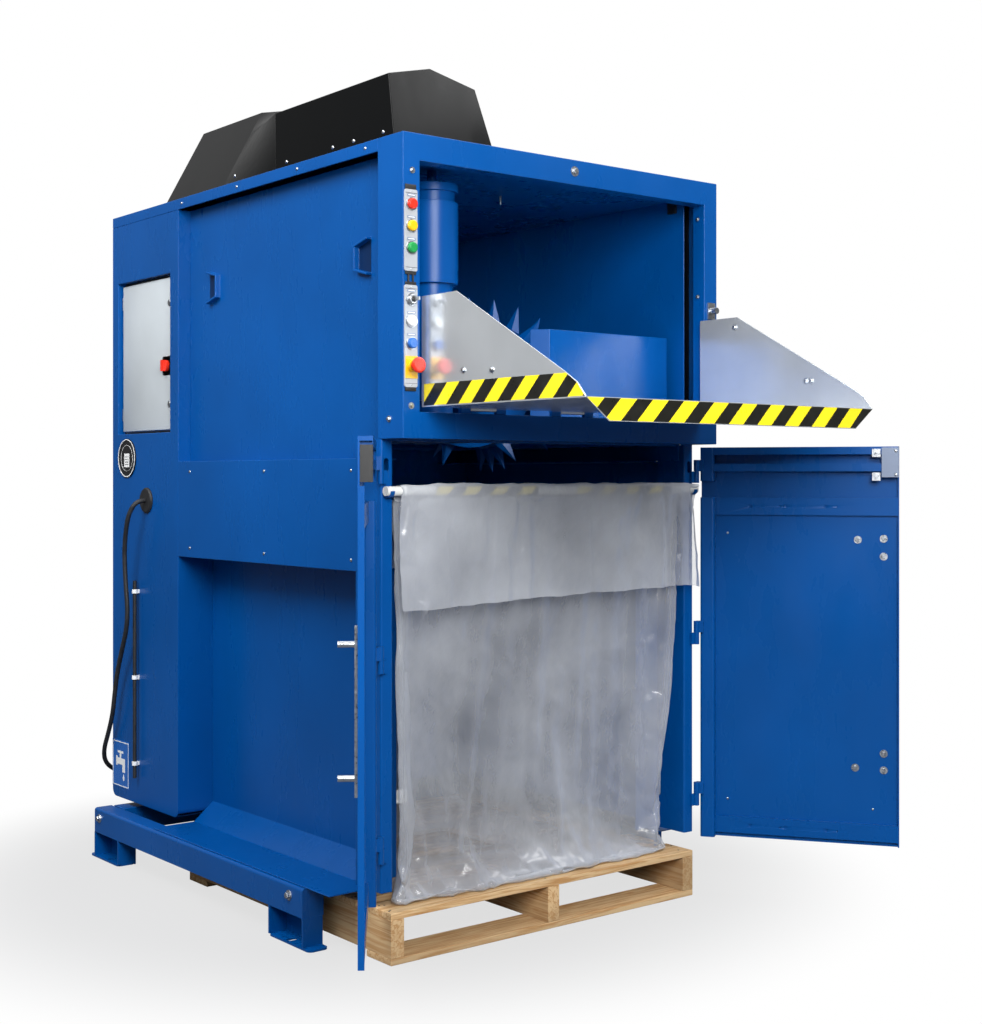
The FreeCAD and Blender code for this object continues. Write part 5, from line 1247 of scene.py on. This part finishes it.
def creased(shape, depth):
    """Sharp small creases of crumpled film, laid over the folds along each point's normal."""
    for vert in shape.verts:
        vert.normal_update()
    for vert in shape.verts:
        place = vert.co
        if place.z < (BAG_FLOOR + 1.5) * MM:
            continue
        x, y, z = place.x / MM + 605.0, place.y / MM + 1038.0, place.z / MM
        if y < 140.0 and z < 985.0:
            vert.co.y -= fold_height(x, z) * MM
        warp = noise.noise_vector(place * 5.0) * 0.06
        ridges = 0.0
        for size, share in ((0.16, 1.0), (0.07, 0.45)):
            distances, _ = noise.voronoi((place + warp) / size)
            ridges += share * min(1.0, (distances[1] - distances[0]) * 1.4)
        low = 1.0 + 1.3 * math.exp((BAG_FLOOR - z) / 110.0)
        vert.co += vert.normal * (ridges - 0.7) * depth * low
        if 50.0 < x < 1160.0:
            vert.co.y = max(vert.co.y, (DOOR_CLEAR - 1038.0) * MM)
    for vert in shape.verts:
        vert.co.z = max(vert.co.z, (BAG_FLOOR - 1.0) * MM)


class CompactorStageSet(bpy.types.Operator):
    """Set the camera, the soft lamps and the pale backdrop"""
    bl_idname = "compactor.stage_set"
    bl_label = "Set the stage"

    def execute(self, context):
        stage = context.scene.compactor_stage
        lens = bpy.data.cameras.new("camera")
        lens.lens = stage.lens
        lens.sensor_width = 36.0
        lens.shift_y = stage.rise
        camera = bpy.data.objects.new("camera", lens)
        camera.location = stage.place
        camera.rotation_euler = (math.pi / 2, 0.0, -stage.turn)
        context.scene.collection.objects.link(camera)
        context.scene.camera = camera
        soft_lamp("side lamp", (-3.3, -0.6, 4.3), (-0.6, 0.2, 1.5), 2.2, 178.0 * stage.lamp)
        soft_lamp("front lamp", (-2.1, -4.7, 2.9), (0.2, -0.6, 1.7), 2.2, 260.0 * stage.lamp)
        soft_lamp("right lamp", (2.1, -2.6, 5.0), (0.0, -0.6, 1.8), 2.4, 110.0 * stage.lamp)
        soft_lamp("top lamp", (0.0, -0.6, 6.5), (0.0, 0.0, 0.0), 4.0, 120.0 * stage.lamp)
        floor = plain_floor(stage.floor)
        white_world(context.scene)
        context.scene.view_settings.view_transform = "Standard"
        return {"FINISHED"}


def soft_lamp(name, place, target, size, power):
    """Square area lamp that looks at a point."""
    data = bpy.data.lights.new(name, "AREA")
    data.size = size
    data.energy = power
    lamp = bpy.data.objects.new(name, data)
    lamp.location = place
    lamp.rotation_euler = (Vector(target) - Vector(place)).to_track_quat("-Z", "Y").to_euler()
    bpy.context.scene.collection.objects.link(lamp)


def plain_floor(colour):
    """Large pale floor."""
    mesh = bpy.data.meshes.new("floor")
    half = 20.0
    mesh.from_pydata([(-half, -half, -0.001), (half, -half, -0.001), (half, half, -0.001), (-half, half, -0.001)],
                     [], [(0, 1, 2, 3)])
    floor = bpy.data.objects.new("floor", mesh)
    bpy.context.scene.collection.objects.link(floor)
    made = bpy.data.materials.new("Floor")
    made.use_nodes = True
    tree = made.node_tree
    tree.nodes.clear()
    matt = add(tree, "ShaderNodeBsdfDiffuse", {"Color": colour})
    white = add(tree, "ShaderNodeEmission", {"Color": (1.0, 1.0, 1.0, 1.0), "Strength": 1.0})
    rays = add(tree, "ShaderNodeLightPath")
    split = add(tree, "ShaderNodeSeparateXYZ", {"Vector": add(tree, "ShaderNodeTexCoord").outputs["Object"]})
    away = add(tree, "ShaderNodeMath", {0: split.outputs["X"], 1: split.outputs["X"]}, operation="MULTIPLY")
    deep = add(tree, "ShaderNodeMath", {0: split.outputs["Y"], 1: split.outputs["Y"]}, operation="MULTIPLY")
    gap = add(tree, "ShaderNodeMath", {0: away.outputs["Value"], 1: deep.outputs["Value"]}, operation="ADD")
    far = add(tree, "ShaderNodeMapRange", {"Value": gap.outputs["Value"], "From Min": 0.9, "From Max": 3.2,
                                           "To Min": 0.72, "To Max": 1.0}, interpolation_type="SMOOTHSTEP")
    seen = add(tree, "ShaderNodeMath", {0: rays.outputs["Is Camera Ray"], 1: far.outputs["Result"]},
               operation="MULTIPLY")
    mix = add(tree, "ShaderNodeMixShader", {"Fac": seen.outputs["Value"]})
    tree.links.new(matt.outputs["BSDF"], mix.inputs[1])
    tree.links.new(white.outputs["Emission"], mix.inputs[2])
    add(tree, "ShaderNodeOutputMaterial", {"Surface": mix.outputs["Shader"]})
    mesh.materials.append(made)
    return floor


def white_world(scene):
    """White surroundings: full white to the camera, softer as a source of light."""
    world = bpy.data.worlds.new("studio")
    world.use_nodes = True
    tree = world.node_tree
    tree.nodes.clear()
    rays = add(tree, "ShaderNodeLightPath")
    height = add(tree, "ShaderNodeSeparateXYZ", {"Vector": add(tree, "ShaderNodeTexCoord").outputs["Generated"]})
    glow = add(tree, "ShaderNodeMapRange", {"Value": height.outputs["Z"], "From Min": -0.05, "From Max": 0.8,
                                            "To Min": 0.11, "To Max": 0.6})
    soft = add(tree, "ShaderNodeBackground", {"Color": (1.0, 1.0, 1.0, 1.0), "Strength": glow.outputs["Result"]})
    plain = add(tree, "ShaderNodeBackground", {"Color": (1.0, 1.0, 1.0, 1.0), "Strength": 1.0})
    mix = add(tree, "ShaderNodeMixShader", {"Fac": rays.outputs["Is Camera Ray"]})
    tree.links.new(soft.outputs["Background"], mix.inputs[1])
    tree.links.new(plain.outputs["Background"], mix.inputs[2])
    add(tree, "ShaderNodeOutputWorld", {"Surface": mix.outputs["Shader"]})
    scene.world = world


class CompactorPanel(bpy.types.Panel):
    """Operators and settings of the compactor."""
    bl_idname = "VIEW3D_PT_compactor"
    bl_label = "Compactor"
    bl_space_type = "VIEW_3D"
    bl_region_type = "UI"
    bl_category = "Compactor"

    def draw(self, context):
        for group in SETTINGS:
            settings = getattr(context.scene, group)
            part = self.layout.box()
            for name in settings.__annotations__:
                part.prop(settings, name)
        for maker in MAKERS:
            self.layout.operator(maker.bl_idname)


SETTINGS = {
    "compactor_paint": CompactorPaint,
    "compactor_tape": CompactorTape,
    "compactor_fasteners": CompactorFasteners,
    "compactor_film": CompactorFilm,
    "compactor_stage": CompactorStage,
}
MAKERS = [CompactorStageSet, CompactorFinishFrame, CompactorFlapTape, CompactorBarTape, CompactorFastenersSet,
          CompactorPalletNails, CompactorLinings, CompactorControls, CompactorEnclosure, CompactorSidePieces, CompactorCable,
          CompactorBag]


def register():
    for name, group in SETTINGS.items():
        bpy.utils.register_class(group)
        setattr(bpy.types.Scene, name, bpy.props.PointerProperty(type=group))
    for maker in MAKERS:
        bpy.utils.register_class(maker)
    bpy.utils.register_class(CompactorPanel)


def unregister():
    bpy.utils.unregister_class(CompactorPanel)
    for maker in reversed(MAKERS):
        bpy.utils.unregister_class(maker)
    for name, group in SETTINGS.items():
        delattr(bpy.types.Scene, name)
        bpy.utils.unregister_class(group)


def main():
    """Build everything in order and write the sizes before and after."""
    register()
    for maker in MAKERS:
        section, name = maker.bl_idname.split(".")
        getattr(getattr(bpy.ops, section), name)()


if __name__ == "__main__":
    main()
